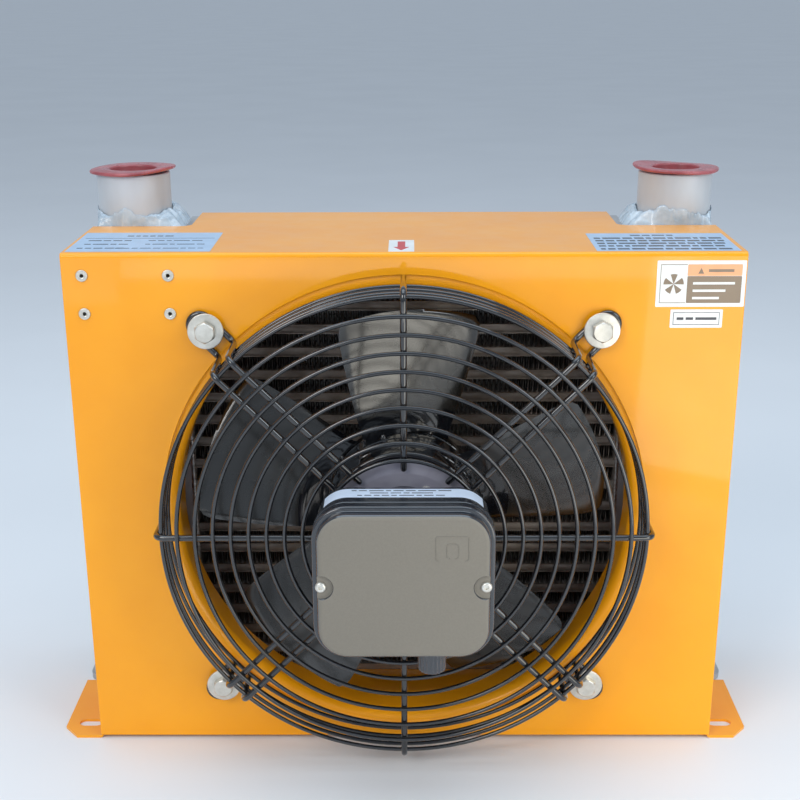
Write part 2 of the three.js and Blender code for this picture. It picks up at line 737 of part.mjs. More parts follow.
function fanGuard() {
  const faceY = SPOKE_Y - (SPOKE_WIRE + RING_WIRE) / 2 + WELD_DEPTH;
  const pieces = [];
  for (let i = 0; i < FACE_RINGS; i++) {
    pieces.push(guardRing(FACE_RING_OUTER - i * FACE_RING_PITCH, faceY));
  }
  for (const y of SIDE_RING_Y) pieces.push(guardRing(SIDE_RING_RADIUS, y));
  for (let i = 0; i < 4; i++) {
    pieces.push(straightSpoke((i * Math.PI) / 2));
    pieces.push(hairpinSpoke((i * Math.PI) / 2 + Math.PI / 4));
  }
  return join(...pieces);
}

// ---------------------------------------------------------------- guard fasteners

function guardBolt([x, z]) {
  const headBack = WASHER_FRONT - GAP;
  const head = rodAlongY(HEX_ACROSS_FLATS / Math.sqrt(3), BOLT_HEAD_FRONT, headBack, x, z, 6);
  return join(head, rodAlongY(BOLT_RADIUS, headBack - 1, BOLT_END, x, z, 12));
}

function ringAlongY([x, z], inner, outer, y0, y1, sides) {
  return turnedAlongY(closed([[inner, y0], [outer, y0], [outer, y1], [inner, y1]]), x, z, sides);
}

const guardWasher = (at) =>
  ringAlongY(at, BOLT_RADIUS + GAP, WASHER_RADIUS, WASHER_FRONT, WASHER_FRONT + WASHER_SHEET, 12);

function weldNut(at) {
  const front = SHEET + GAP;
  const inner = (BOLT_RADIUS + GAP) / Math.cos(Math.PI / 6);
  return ringAlongY(at, inner, WELD_NUT.radius, front, front + WELD_NUT.height, 6);
}

// A flanged threaded insert; only its rim stands in front of the panel.
function rivetNut([x, z]) {
  const { thread, body, rim, rimHeight, rear } = RIVET_NUT;
  const profile = closed([
    [thread, -GAP - rimHeight],
    [rim, -GAP - rimHeight],
    [rim, -GAP],
    [body, -GAP],
    [body, rear],
    [thread, rear],
  ]);
  return turnedAlongY(profile, x, z, 8);
}

// ---------------------------------------------------------------- terminal box

function boxOutline(inset, corner) {
  const half = [BOX_WIDTH / 2 - inset, BOX_HEIGHT / 2 - inset];
  return roundedRectangle(-half[0], half[0], BOX_Z - half[1], BOX_Z + half[1], corner);
}

function terminalBoxBase() {
  const front = BOX_SPLIT + GASKET + 2 * GAP;
  const shell = slabAlongY(boxOutline(0, BOX_CORNER), front, BOX_REAR);
  const neck = rodAlongY(NECK_RADIUS, BOX_REAR - 1, NECK_REAR, 0, FAN_Z, 24);
  const inside = boxOutline(BOX_WALL, BOX_CORNER - BOX_WALL);
  const hollow = slabAlongY(inside, front - 1, BOX_REAR - BOX_WALL);
  const wireHole = rodAlongY(WIRE_HOLE_RADIUS, BOX_REAR - BEYOND, NECK_REAR + BEYOND, 0, FAN_Z, 16);
  const glandHole = rodAlongZ(GLAND_HOLE, BOX_BOTTOM - BEYOND, BOX_BOTTOM + BEYOND, GLAND_X, GLAND_Y, 12);
  return cut(join(shell, neck), hollow, wireHole, glandHole);
}

function terminalBoxGasket() {
  const front = BOX_SPLIT + GAP;
  const outer = slabAlongY(boxOutline(GASKET_INSET, BOX_CORNER), front, front + GASKET);
  const inside = boxOutline(BOX_WALL, BOX_CORNER - BOX_WALL);
  return cut(outer, slabAlongY(inside, front - 1, front + GASKET + 1));
}

function terminalBoxLid() {
  const rim = slabAlongY(boxOutline(0, BOX_CORNER), BOX_FRONT + LID_FACE_DEPTH, BOX_SPLIT);
  const raised = boxOutline(LID_STEP, BOX_CORNER - 1);
  const face = slabAlongY(raised, BOX_FRONT, BOX_FRONT + LID_FACE_DEPTH + 0.5);
  const inside = boxOutline(BOX_WALL + LID_STEP, BOX_CORNER - BOX_WALL);
  const hollow = slabAlongY(inside, BOX_FRONT + BOX_WALL, BOX_SPLIT + 1);
  const { radius, depth } = LID_RECESS;
  const recesses = [-1, 1].map((side) =>
    rodAlongY(radius, BOX_FRONT - 1, BOX_FRONT + depth, side * LID_SCREW_X, BOX_Z, 12),
  );
  return cut(join(rim, face), hollow, ...recesses);
}

function lidScrew(side) {
  const [front, back] = [BOX_FRONT - LID_SCREW_PROUD, BOX_FRONT + LID_RECESS.depth - GAP];
  return rodAlongY(LID_SCREW_RADIUS, front, back, side * LID_SCREW_X, BOX_Z, 12);
}

// A cable gland below the box, with no cable in it.
function cableGland() {
  const top = BOX_BOTTOM - GAP;
  const low = top - GLAND_REACH;
  return turnedUpright(
    closed([
      [GLAND_BORE, low],
      [GLAND_BORE + 2.5, low],
      [GLAND_BORE + 4.5, low + 2.5],
      [GLAND_BORE + 5.5, low + 7],
      [GLAND_BORE + 6, top - 3],
      [GLAND_BORE + 6, top],
      [GLAND_THREAD, top],
      [GLAND_THREAD, top + GLAND_SCREWED_IN],
      [GLAND_BORE, top + GLAND_SCREWED_IN],
    ]),
    GLAND_X,
    GLAND_Y,
    16,
  );
}

const terminalBlock = () =>
  box(BLOCK.x0, BLOCK.x1, BLOCK.front, BOX_REAR - BOX_WALL - GAP, BLOCK.low, BLOCK.high);

function runCapacitor() {
  const { radius, length, y, z } = CAPACITOR;
  return new THREE.CylinderGeometry(radius, radius, length, 20).rotateZ(Math.PI / 2).translate(0, y, z);
}

// ---------------------------------------------------------------- assembly

const group = new THREE.Group();

function add(name, geometry, material) {
  const mesh = new THREE.Mesh(facingOut(geometry), material());
  mesh.geometry.computeVertexNormals();
  mesh.name = name;
  group.add(mesh);
}

add("front_top_cover", frontTopCover(), orangePaint);
add("bottom_panel", bottomPanel(), orangePaint);
add("inlet_ring", inletRing(), orangePaint);

add("core_matrix", coreMatrix(), coreAluminium);
add("core_top_plate", corePlate(MATRIX_TOP + GAP, HEIGHT - SHEET - GAP), aluminium);
add("core_bottom_plate", corePlate(PANEL_BOTTOM + SHEET + GAP, MATRIX_BOTTOM - GAP), aluminium);

for (const [word, side] of [["left", -1], ["right", 1]]) {
  add(`${word}_side_panel`, sidePanel(side), orangePaint);
  add(`${word}_header_tank`, headerTank(side), aluminium);
  add(`${word}_core_foot`, coreFoot(side), aluminium);
  add(`${word}_port_boss`, portBoss(side), portAluminium);
  add(`${word}_port_plug`, portPlug(side), redPlastic);
  add(`${word}_port_film`, portFilm(side), clearFilm);
  add(`${word}_lid_screw`, lidScrew(side), zincPlate);
}

add("fan_guard", fanGuard(), blackCoat);
add("motor_mount_plate", motorMountPlate(), greyCoat);
add("stator_end_shield", statorEndShield(), greyCoat);
add("stator_pack", statorPack(), copper);
add("front_bearing", bearing(FRONT_BEARING_Y), steel);
add("rear_bearing", bearing(REAR_BEARING_Y), steel);
add("rotor_shaft", rotorShaft(), steel);
add("rotor_cup", rotorCup(), blackCoat);
for (let i = 0; i < BLADES; i++) add(`fan_blade_${i + 1}`, fanBlade(i), blackCoat);
motorScrewPositions().forEach((at, i) => add(`motor_screw_${i + 1}`, motorScrew(at), zincPlate));

boltPositions.forEach((at, i) => {
  add(`guard_bolt_${boltNames[i]}`, guardBolt(at), zincPlate);
  add(`guard_washer_${boltNames[i]}`, guardWasher(at), zincPlate);
  add(`weld_nut_${boltNames[i]}`, weldNut(at), steel);
});
RIVET_NUTS.forEach((at, i) => add(`rivet_nut_${i + 1}`, rivetNut(at), zincPlate));

add("terminal_box_base", terminalBoxBase(), blackPlastic);
add("terminal_box_gasket", terminalBoxGasket(), rubber);
add("terminal_box_lid", terminalBoxLid(), blackPlastic);
add("cable_gland", cableGland(), blackPlastic);
add("terminal_block", terminalBlock(), greyPlastic);
add("run_capacitor", runCapacitor(), greyPlastic);

// The origin moves to the middle of the bounding box's base.
group.position.y = -(BOX_FRONT - LID_SCREW_PROUD + COVER_DEPTH) / 2;

export default group;
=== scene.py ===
import json
from math import atan2, cos, exp, hypot, pi, radians, sin, sqrt

import bmesh
import bpy
from mathutils import Matrix, Vector, noise


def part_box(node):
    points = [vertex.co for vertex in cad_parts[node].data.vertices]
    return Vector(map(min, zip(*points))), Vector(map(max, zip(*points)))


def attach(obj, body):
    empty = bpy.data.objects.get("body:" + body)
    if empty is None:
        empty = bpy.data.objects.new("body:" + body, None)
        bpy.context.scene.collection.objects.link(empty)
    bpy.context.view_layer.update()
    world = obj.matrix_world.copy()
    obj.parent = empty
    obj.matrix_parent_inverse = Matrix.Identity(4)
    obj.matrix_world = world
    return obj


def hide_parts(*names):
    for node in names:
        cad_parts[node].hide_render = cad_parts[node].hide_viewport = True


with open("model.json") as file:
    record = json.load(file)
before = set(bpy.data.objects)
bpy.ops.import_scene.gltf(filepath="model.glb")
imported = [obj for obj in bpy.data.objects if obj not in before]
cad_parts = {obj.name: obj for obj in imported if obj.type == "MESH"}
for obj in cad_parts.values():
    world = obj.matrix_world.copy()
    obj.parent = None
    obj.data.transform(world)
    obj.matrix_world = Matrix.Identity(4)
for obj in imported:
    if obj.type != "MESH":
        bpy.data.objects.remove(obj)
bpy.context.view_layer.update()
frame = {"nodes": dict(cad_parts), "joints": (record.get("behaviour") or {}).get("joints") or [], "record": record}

MM = 0.001
FACE_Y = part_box("front_top_cover")[0].y


def metres(point):
    x, y, z = point
    return Vector((x * MM, y * MM + FACE_Y, z * MM))


def box_mm(node):
    return [Vector((c.x / MM, (c.y - FACE_Y) / MM, c.z / MM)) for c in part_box(node)]


def span(node):
    low, high = box_mm(node)
    return low, high, (low + high) / 2


def middle(node):
    return span(node)[2]


# ---------------- driving dimensions

COVER_LOW, COVER_HIGH = box_mm("front_top_cover")
HALF_WIDTH = COVER_HIGH.x
HEIGHT = COVER_HIGH.z
SHEET = 2.0
FOLD_RADIUS = 3.0
OPENING_RADIUS = 171.0
FAN_Z = frame["joints"][0]["pos_m"][2] / MM
NOTCH_FRONT = 108.5
TONGUE_HALF_WIDTH = 158.0
NOTCH_CORNER = 8.0

CORE_LOW, CORE_HIGH = box_mm("core_matrix")
FIN_ROWS = 20
BAR_HEIGHT = 7.0
ROW_PITCH = (CORE_HIGH.z - CORE_LOW.z + BAR_HEIGHT) / FIN_ROWS
FIN_HEIGHT = ROW_PITCH - BAR_HEIGHT

SEAM = 0.3  # between sheets that lie side by side
BEYOND = 5.0  # how far a cutter reaches past what it cuts
OUTSIDE = 300.0  # past everything, sideways
BOLT_HOLE, SCREW_HOLE = 4.5, 2.9
SHROUD_SLOT = {"x": 241.5, "front": 15, "rear": 25}
CORE_SLOT = {"x": 243, "front": 143, "rear": 153}

BOLTS = {corner: middle(f"guard_bolt_{corner}") for corner in
         ("upper_left", "lower_left", "upper_right", "lower_right")}
SIDES = {"left": -1, "right": 1}


# ---------------- shapes: (points, faces)

def merged(*shapes):
    points, faces = [], []
    for more_points, more_faces in shapes:
        start = len(points)
        points += more_points
        faces += [tuple(start + i for i in face) for face in more_faces]
    return points, faces


def warped(shape, change):
    return [change(Vector(p)) for p in shape[0]], shape[1]


def loft(rings, loop=False, capped=True):
    """Rings of equally many points, joined by quads, and capped unless the last meets the first."""
    size, count = len(rings[0]), len(rings)
    faces = []
    for a in range(count if loop else count - 1):
        b = (a + 1) % count
        for i in range(size):
            j = (i + 1) % size
            faces.append((a * size + i, a * size + j, b * size + j, b * size + i))
    if capped and not loop:
        faces.append(tuple(reversed(range(size))))
        faces.append(tuple(range((count - 1) * size, count * size)))
    return [p for ring in rings for p in ring], faces


PLACES = {
    "x": lambda a, b, along: (along, a, b),
    "y": lambda a, b, along: (a, along, b),
    "z": lambda a, b, along: (a, b, along),
}


def around(count):
    return [2 * pi * i / count for i in range(count)]


def lathe(profile, centre, axis="y", sides=96, loop=True):
    """A profile of (radius, place along the axis) turned about an axis through centre."""
    a, b = centre
    place = PLACES[axis]
    return loft([[place(a + r * cos(t), b + r * sin(t), along) for t in around(sides)]
                 for r, along in profile], loop)


def rod(radius, low, high, centre, axis="y", sides=48):
    return lathe([(radius, low), (radius, high)], centre, axis, sides, loop=False)


def prism(outline, low, high, axis):
    place = PLACES[axis]
    return loft([[place(a, b, along) for a, b in outline] for along in (low, high)])


def rectangle(x0, x1, y0, y1):
    return [(x0, y0), (x1, y0), (x1, y1), (x0, y1)]


def block(x0, x1, y0, y1, z0, z1):
    return prism(rectangle(x0, x1, y0, y1), z0, z1, "z")


def arc(centre, radius, start, end, steps):
    """Points round part of a circle; angles in degrees."""
    turns = [radians(start + (end - start) * i / steps) for i in range(steps + 1)]
    return [(centre[0] + radius * cos(t), centre[1] + radius * sin(t)) for t in turns]


def rounded_rectangle(x0, x1, y0, y1, radius, steps=10):
    return (arc((x1 - radius, y0 + radius), radius, -90, 0, steps)
            + arc((x1 - radius, y1 - radius), radius, 0, 90, steps)
            + arc((x0 + radius, y1 - radius), radius, 90, 180, steps)
            + arc((x0 + radius, y0 + radius), radius, 180, 270, steps))


def tube(path, radius, sides=12, loop=False):
    """A wire along a path, with domed ends. The radius is a number or a function of the step."""
    points = [Vector(p) for p in path]
    count = len(points)
    rings, normal = [], None

    def ring(centre, along, size):
        side = along.cross(normal)
        return [centre + size * (cos(t) * normal + sin(t) * side) for t in around(sides)]

    for i, point in enumerate(points):
        before = points[i - 1] if loop or i else point
        after = points[(i + 1) % count] if loop or i < count - 1 else point
        along = (after - before).normalized()
        normal = along.orthogonal().normalized() if normal is None else normal
        normal = (normal - along * normal.dot(along)).normalized()
        size = radius(i) if callable(radius) else radius
        dome = [(0.9, 0.45), (0.55, 0.85)]
        if not loop and i == 0:
            rings += [ring(point - along * size * out, along, size * share) for out, share in dome]
        rings.append(ring(point, along, size))
        if not loop and i == count - 1:
            rings += [ring(point + along * size * out, along, size * share)
                      for out, share in reversed(dome)]
    return loft(rings, loop)


def bent(points, radius, steps=7):
    """A path of straight runs with its corners rounded off."""
    points = [Vector(p) for p in points]
    path = [points[0]]
    for before, corner, after in zip(points, points[1:], points[2:]):
        reach_in = min(radius, (before - corner).length / 2)
        reach_out = min(radius, (after - corner).length / 2)
        start = corner + (before - corner).normalized() * reach_in
        end = corner + (after - corner).normalized() * reach_out
        for i in range(steps + 1):
            t = i / steps
            path.append(start * (1 - t) ** 2 + corner * (2 * t * (1 - t)) + end * t * t)
    return path + [points[-1]]


# ---------------- objects

def add_object(name, data):
    obj = bpy.data.objects.new(name, data)
    bpy.context.scene.collection.objects.link(obj)
    return obj


def mesh_object(name, shape):
    mesh = bpy.data.meshes.new(name)
    mesh.from_pydata([metres(p) for p in shape[0]], [], shape[1])
    work = bmesh.new()
    work.from_mesh(mesh)
    bmesh.ops.remove_doubles(work, verts=work.verts, dist=1e-7)
    bmesh.ops.recalc_face_normals(work, faces=work.faces)
    work.to_mesh(mesh)
    work.free()
    return add_object(name, mesh)


def cut(obj, shapes):
    tool = mesh_object("cutter", merged(*shapes))
    modifier = obj.modifiers.new("cut", "BOOLEAN")
    modifier.operation = "DIFFERENCE"
    modifier.solver = "EXACT"
    modifier.object = tool
    bpy.context.view_layer.update()
    graph = bpy.context.evaluated_depsgraph_get()
    mesh = bpy.data.meshes.new_from_object(obj.evaluated_get(graph))
    obj.modifiers.clear()
    obj.data = mesh
    bpy.data.objects.remove(tool)


def piece(name, shape, slot, stands_for=(), body="root", cuts=(), bevel=0.0, sharp=38, look=None):
    """A detailed piece that rides on a CAD body and stands for the CAD nodes it is named after."""
    obj = mesh_object(name, shape)
    if cuts:
        cut(obj, cuts)
    mesh = obj.data
    mesh.polygons.foreach_set("use_smooth", [True] * len(mesh.polygons))
    mesh.set_sharp_from_angle(angle=radians(sharp))
    if bevel:
        rounding = obj.modifiers.new("rounding", "BEVEL")
        rounding.width = bevel * MM
        rounding.segments = 3
        rounding.limit_method = "ANGLE"
        rounding.angle_limit = radians(sharp)
        rounding.use_clamp_overlap = True
        weighted = obj.modifiers.new("weighted", "WEIGHTED_NORMAL")
        weighted.keep_sharp = False
    mesh.materials.clear()
    mesh.materials.append(look or LOOKS[slot])
    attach(obj, body)
    if stands_for:
        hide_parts(*stands_for)
    return obj


def turned(name, profile, at, sides, slot, node, loop=True):
    """A small part that is round about a line from front to rear."""
    piece(name, lathe(profile, (at.x, at.z), sides=sides, loop=loop), slot, [node], sharp=40)


def thicken(obj, sheet, offset=-1.0):
    thickness = obj.modifiers.new("thickness", "SOLIDIFY")
    thickness.thickness = sheet * MM
    thickness.offset = offset


# ---------------- materials

EVEN = (1, 1, 1)
MOSTLY = (0.35, 0.65)  # noise mostly lies between these


def shader_socket(material, name):
    return material.node_tree.nodes["Principled BSDF"].inputs[name]


def noise_texture(material, scale, detail=3.0, stretch=EVEN):
    """Noise in the object's own space; scale is in cells per metre."""
    nodes, links = material.node_tree.nodes, material.node_tree.links
    place = nodes.new("ShaderNodeTexCoord")
    mapping = nodes.new("ShaderNodeMapping")
    mapping.inputs["Scale"].default_value = stretch
    texture = nodes.new("ShaderNodeTexNoise")
    texture.inputs["Scale"].default_value = scale
    texture.inputs["Detail"].default_value = detail
    links.new(place.outputs["Object"], mapping.inputs["Vector"])
    links.new(mapping.outputs["Vector"], texture.inputs["Vector"])
    return texture.outputs["Fac"]


def vary(material, name, low, high, scale, detail=3.0, stretch=EVEN):
    """Noise on one of the shader's sockets, from one colour or number to another."""
    nodes, links = material.node_tree.nodes, material.node_tree.links
    ramp = nodes.new("ShaderNodeValToRGB")
    for element, place, value in zip(ramp.color_ramp.elements, MOSTLY, (low, high)):
        element.position = place
        element.color = (*value, 1.0) if isinstance(value, tuple) else (value, value, value, 1.0)
    links.new(noise_texture(material, scale, detail, stretch), ramp.inputs["Fac"])
    links.new(ramp.outputs["Color"], shader_socket(material, name))


def add_bumps(material, layers):
    """Layers of (cells per metre, height in millimetres, stretch), added one over the other."""
    nodes, links = material.node_tree.nodes, material.node_tree.links
    normal = None
    for scale, height, stretch in layers:
        bump = nodes.new("ShaderNodeBump")
        bump.inputs["Strength"].default_value = 1.0
        bump.inputs["Distance"].default_value = height * MM
        links.new(noise_texture(material, scale, 2.0, stretch), bump.inputs["Height"])
        if normal:
            links.new(normal, bump.inputs["Normal"])
        normal = bump.outputs["Normal"]
    if normal:
        links.new(normal, shader_socket(material, "Normal"))


def finish(name, color, roughness, mottled, rough=None, bumps=(), metallic=0.0, coat=0.0,
           coat_roughness=0.1, specular=0.5):
    """A material: mottled is (colour, colour, scale ...) and rough is (roughness, roughness,
    scale, stretch), each with its noise; bumps is a list of layers."""
    material = bpy.data.materials.new(name)
    material.use_nodes = True
    values = {"Base Color": (*color, 1.0), "Roughness": roughness, "Metallic": metallic,
              "Coat Weight": coat, "Coat Roughness": coat_roughness, "Specular IOR Level": specular}
    for socket, value in values.items():
        shader_socket(material, socket).default_value = value
    vary(material, "Base Color", *mottled)
    if rough:
        low, high, scale, *stretch = rough
        vary(material, "Roughness", low, high, scale, 4.0, *stretch)
    add_bumps(material, bumps)
    return material


def orange_paint():
    return finish("orange_paint", (0.97, 0.37, 0.004), 0.4,
                  ((0.95, 0.355, 0.002), (0.99, 0.39, 0.006), 14), rough=(0.3, 0.38, 60),
                  bumps=[(26, 0.35, (1, 1, 2)), (70, 0.05, (1, 1, 2)), (420, 0.01, EVEN)],
                  coat=0.55, coat_roughness=0.05, specular=0.25)


def core_aluminium():
    return finish("core_aluminium", (0.32, 0.28, 0.245), 0.5,
                  ((0.24, 0.205, 0.175), (0.4, 0.355, 0.315), 55, 5, (1, 1, 2.5)),
                  rough=(0.38, 0.62, 90), bumps=[(260, 0.08, (1, 1, 2)), (1400, 0.02, EVEN)],
                  metallic=0.55)


def fin_aluminium():
    return finish("fin_aluminium", (0.16, 0.14, 0.12), 0.45,
                  ((0.1, 0.085, 0.072), (0.24, 0.21, 0.185), 80, 4),
                  bumps=[(900, 0.02, (1, 1, 4))], metallic=0.8)


def tank_aluminium():
    return finish("tank_aluminium", (0.52, 0.52, 0.52), 0.42,
                  ((0.44, 0.44, 0.445), (0.6, 0.6, 0.6), 22, 5, (1, 1, 0.35)),
                  rough=(0.34, 0.52, 45, (1, 1, 0.2)),
                  bumps=[(1500, 0.012, (1, 1, 0.08)), (90, 0.05, EVEN)], metallic=0.85)


def weld_aluminium():
    return finish("weld_aluminium", (0.5, 0.5, 0.49), 0.35,
                  ((0.36, 0.35, 0.34), (0.62, 0.62, 0.61), 160, 4),
                  bumps=[(500, 0.06, EVEN)], metallic=0.85)


def port_aluminium():
    return finish("port_aluminium", (0.55, 0.59, 0.63), 0.5,
                  ((0.5, 0.53, 0.56), (0.61, 0.65, 0.69), 30, 3, (1, 1, 0.4)),
                  rough=(0.42, 0.56, 70),
                  bumps=[(1300, 0.012, (0.25, 0.25, 2.5)), (3500, 0.006, EVEN)], metallic=0.1)


def red_plastic():
    material = finish("red_plastic", (0.36, 0.075, 0.085), 0.32,
                      ((0.3, 0.055, 0.065), (0.44, 0.11, 0.12), 70, 4), rough=(0.26, 0.42, 150),
                      bumps=[(260, 0.06, EVEN)], coat=0.25, coat_roughness=0.2)
    shader_socket(material, "Subsurface Weight").default_value = 0.25
    shader_socket(material, "Subsurface Radius").default_value = (0.004, 0.0012, 0.001)
    return material


def clear_film():
    material = finish("clear_film", (0.8, 0.87, 0.93), 0.2,
                      ((0.5, 0.62, 0.72), (0.72, 0.82, 0.9), 90, 4),
                      bumps=[(130, 0.35, (1, 1, 1.6)), (500, 0.06, EVEN)], coat=0.5,
                      coat_roughness=0.08)
    vary(material, "Alpha", 0.6, 0.88, 80, 4)
    return material


def black_coat():
    return finish("black_coat", (0.006, 0.0065, 0.009), 0.12,
                  ((0.004, 0.0045, 0.006), (0.009, 0.0095, 0.012), 60),
                  bumps=[(160, 0.03, EVEN)], coat=1.0, coat_roughness=0.03)


def blade_paint():
    return finish("blade_paint", (0.014, 0.013, 0.012), 0.24,
                  ((0.009, 0.0085, 0.008), (0.02, 0.0185, 0.016), 24, 5), rough=(0.16, 0.34, 30),
                  bumps=[(35, 0.3, EVEN), (700, 0.012, EVEN)], coat=1.0, coat_roughness=0.14)


def motor_grey():
    return finish("motor_grey", (0.34, 0.33, 0.4), 0.42,
                  ((0.29, 0.28, 0.345), (0.39, 0.38, 0.45), 40, 4),
                  bumps=[(1000, 0.015, EVEN)], metallic=0.3, coat=0.2)


def copper_winding():
    return finish("copper_winding", (0.4, 0.15, 0.06), 0.35,
                  ((0.24, 0.08, 0.035), (0.52, 0.22, 0.09), 400, 3, (1, 6, 1)),
                  bumps=[(900, 0.1, (1, 6, 1))], metallic=0.9)


def bright_steel():
    return finish("bright_steel", (0.55, 0.55, 0.57), 0.25,
                  ((0.46, 0.46, 0.48), (0.62, 0.62, 0.63), 200, 3, (1, 6, 1)),
                  rough=(0.2, 0.34, 300, (1, 8, 1)), metallic=1.0)


def zinc_plate():
    return finish("zinc_plate", (0.68, 0.655, 0.585), 0.32,
                  ((0.61, 0.585, 0.52), (0.74, 0.715, 0.65), 180, 3), rough=(0.28, 0.42, 320),
                  bumps=[(700, 0.008, EVEN)], metallic=0.75)


def box_plastic():
    return finish("box_plastic", (0.016, 0.02, 0.028), 0.2,
                  ((0.014, 0.017, 0.023), (0.02, 0.023, 0.031), 30, 3),
                  bumps=[(1400, 0.006, EVEN)], coat=1.0, coat_roughness=0.08)


def lid_grain_and_painted_sheen():
    """The lid's spark-eroded face: the same plastic, rough and grained, but with a pale colour that is painted
    sheen, standing in for the bright reflection on the face.
    """
    return finish("lid_grain_and_painted_sheen", (0.2, 0.18, 0.148), 0.6,
                  ((0.196, 0.177, 0.146), (0.206, 0.187, 0.155), 900, 2),
                  bumps=[(1700, 0.045, EVEN), (800, 0.04, EVEN)], specular=0.4)


def gasket_rubber():
    return finish("gasket_rubber", (0.02, 0.02, 0.02), 0.75,
                  ((0.014, 0.014, 0.014), (0.028, 0.028, 0.028), 300), bumps=[(1500, 0.03, EVEN)])


def pale_plastic():
    return finish("pale_plastic", (0.62, 0.62, 0.58), 0.4,
                  ((0.57, 0.57, 0.53), (0.66, 0.66, 0.62), 60), bumps=[(1200, 0.02, EVEN)])


def sticker_look(name, color, roughness=0.35):
    darker = tuple(0.92 * c for c in color)
    return finish(name, color, roughness, (darker, color, 90, 4), bumps=[(150, 0.03, EVEN)],
                  coat=0.25, coat_roughness=0.15)


LOOKS = {make.__name__: make() for make in (
    orange_paint, core_aluminium, tank_aluminium, port_aluminium, red_plastic, clear_film,
    black_coat, motor_grey, copper_winding, bright_steel, zinc_plate, box_plastic,
    gasket_rubber, pale_plastic)}
FINS = fin_aluminium()
WELD = weld_aluminium()
BLADE_PAINT = blade_paint()
# grain on the lid's face; its pale colour is painted sheen
LID_GRAIN_AND_PAINTED_SHEEN = lid_grain_and_painted_sheen()
WHITE = sticker_look("label_white", (0.86, 0.86, 0.84))
SILVER = sticker_look("label_silver", (0.42, 0.56, 0.74), 0.4)
PALE_BLUE = sticker_look("label_motor", (0.7, 0.8, 0.95))
BROWN = sticker_look("label_brown", (0.24, 0.17, 0.11))
SALMON = sticker_look("label_orange", (0.95, 0.42, 0.2))
RED = sticker_look("label_red", (0.62, 0.02, 0.02))
INK = sticker_look("label_ink", (0.03, 0.035, 0.05))


def carry_over():
    """CAD nodes whose shape is kept get their slot's material."""
    for part in frame["record"]["subparts"]:
        obj = frame["nodes"][part["node"]]
        obj.data.materials.clear()
        obj.data.materials.append(LOOKS[part["material_slot"]])


# ---------------- shroud

def front_top_cover():
    depth = COVER_HIGH.y
    bend = (FOLD_RADIUS, HEIGHT - FOLD_RADIUS)
    profile = ([(0, COVER_LOW.z)]
               + arc(bend, FOLD_RADIUS, 180, 90, 10)
               + [(depth, HEIGHT), (depth, HEIGHT - SHEET)]
               + arc(bend, FOLD_RADIUS - SHEET, 90, 180, 10)
               + [(SHEET, COVER_LOW.z)])
    cuts = [rod(OPENING_RADIUS, -BEYOND, BEYOND, (0, FAN_Z), sides=180)]
    cuts += [rod(BOLT_HOLE, -BEYOND, BEYOND, (at.x, at.z), sides=32) for at in BOLTS.values()]
    for number in range(1, 5):
        at = middle(f"rivet_nut_{number}")
        cuts.append(rod(SCREW_HOLE, -BEYOND, BEYOND, (at.x, at.z), sides=24))
    for side in SIDES.values():
        outside, rear = side * (HALF_WIDTH + BEYOND), depth + BEYOND
        corner = arc((side * (TONGUE_HALF_WIDTH + NOTCH_CORNER), NOTCH_FRONT + NOTCH_CORNER),
                     NOTCH_CORNER, 180 if side > 0 else 0, 270 if side > 0 else -90, 10)
        notch = [(side * TONGUE_HALF_WIDTH, rear)] + corner
        notch += [(outside, NOTCH_FRONT), (outside, rear)]
        cuts.append(prism(notch, HEIGHT - 2 * BEYOND, HEIGHT + BEYOND, "z"))
    piece("shroud_cover", prism(profile, -HALF_WIDTH, HALF_WIDTH, "x"), "orange_paint",
          ["front_top_cover"], cuts=cuts, bevel=0.6)


def foot_slot(side, slot):
    half_length, half_width = 9, (slot["rear"] - slot["front"]) / 2
    x = side * slot["x"]
    outline = rounded_rectangle(x - half_length, x + half_length, slot["front"], slot["rear"],
                                half_width - 0.01)
    return prism(outline, -BEYOND, 2 * BEYOND, "z")


def side_panel(word, side):
    """A panel whose lower edge folds out into a foot; the foot stops short of the panel's rear."""
    low, high = box_mm(f"{word}_side_panel")
    foot_edge, foot_rear, chamfer = max(-low.x, high.x), 90, 12
    inner, outer = HALF_WIDTH - SHEET, HALF_WIDTH
    bend, fillet = 3.2, 1.2
    profile = ([(inner, high.z)]
               + arc((inner + bend, bend), bend, 180, 270, 8)
               + [(foot_edge, 0), (foot_edge, SHEET)]
               + arc((outer + fillet, SHEET + fillet), fillet, 270, 180, 6)
               + [(outer, high.z)])
    profile = [(side * x, z) for x, z in profile]
    behind_cover = block(side * 200, side * OUTSIDE, -BEYOND, SHEET + SEAM, SHEET + SEAM,
                         high.z + BEYOND)
    behind_foot = block(side * (outer + SEAM), side * OUTSIDE, foot_rear, 200, -BEYOND, SHEET + 8)
    corner = [(side * (foot_edge - chamfer), -1), (side * (foot_edge + 1), -1),
              (side * (foot_edge + 1), 15.2)]
    cuts = [behind_cover, behind_foot, prism(corner, -BEYOND, SHEET + BEYOND, "z"),
            foot_slot(side, SHROUD_SLOT)]
    piece(f"{word}_side", prism(profile, 0, high.y, "y"), "orange_paint", [f"{word}_side_panel"],
          cuts=cuts, bevel=0.5)


def inlet_ring():
    low, high = box_mm("inlet_ring")
    throat, sheet, curve = 161.0, 1.5, 10.0
    centre = (throat + curve, low.y + curve)
    profile = ([(high.x, low.y)]
               + arc(centre, curve, -90, -180, 12)
               + [(throat, high.y), (throat + sheet, high.y)]
               + arc(centre, curve - sheet, -180, -90, 12)
               + [(high.x, low.y + sheet)])
    piece("inlet_bell", lathe(profile, (0, FAN_Z), sides=180), "orange_paint", ["inlet_ring"],
          bevel=0.4)


# ---------------- core

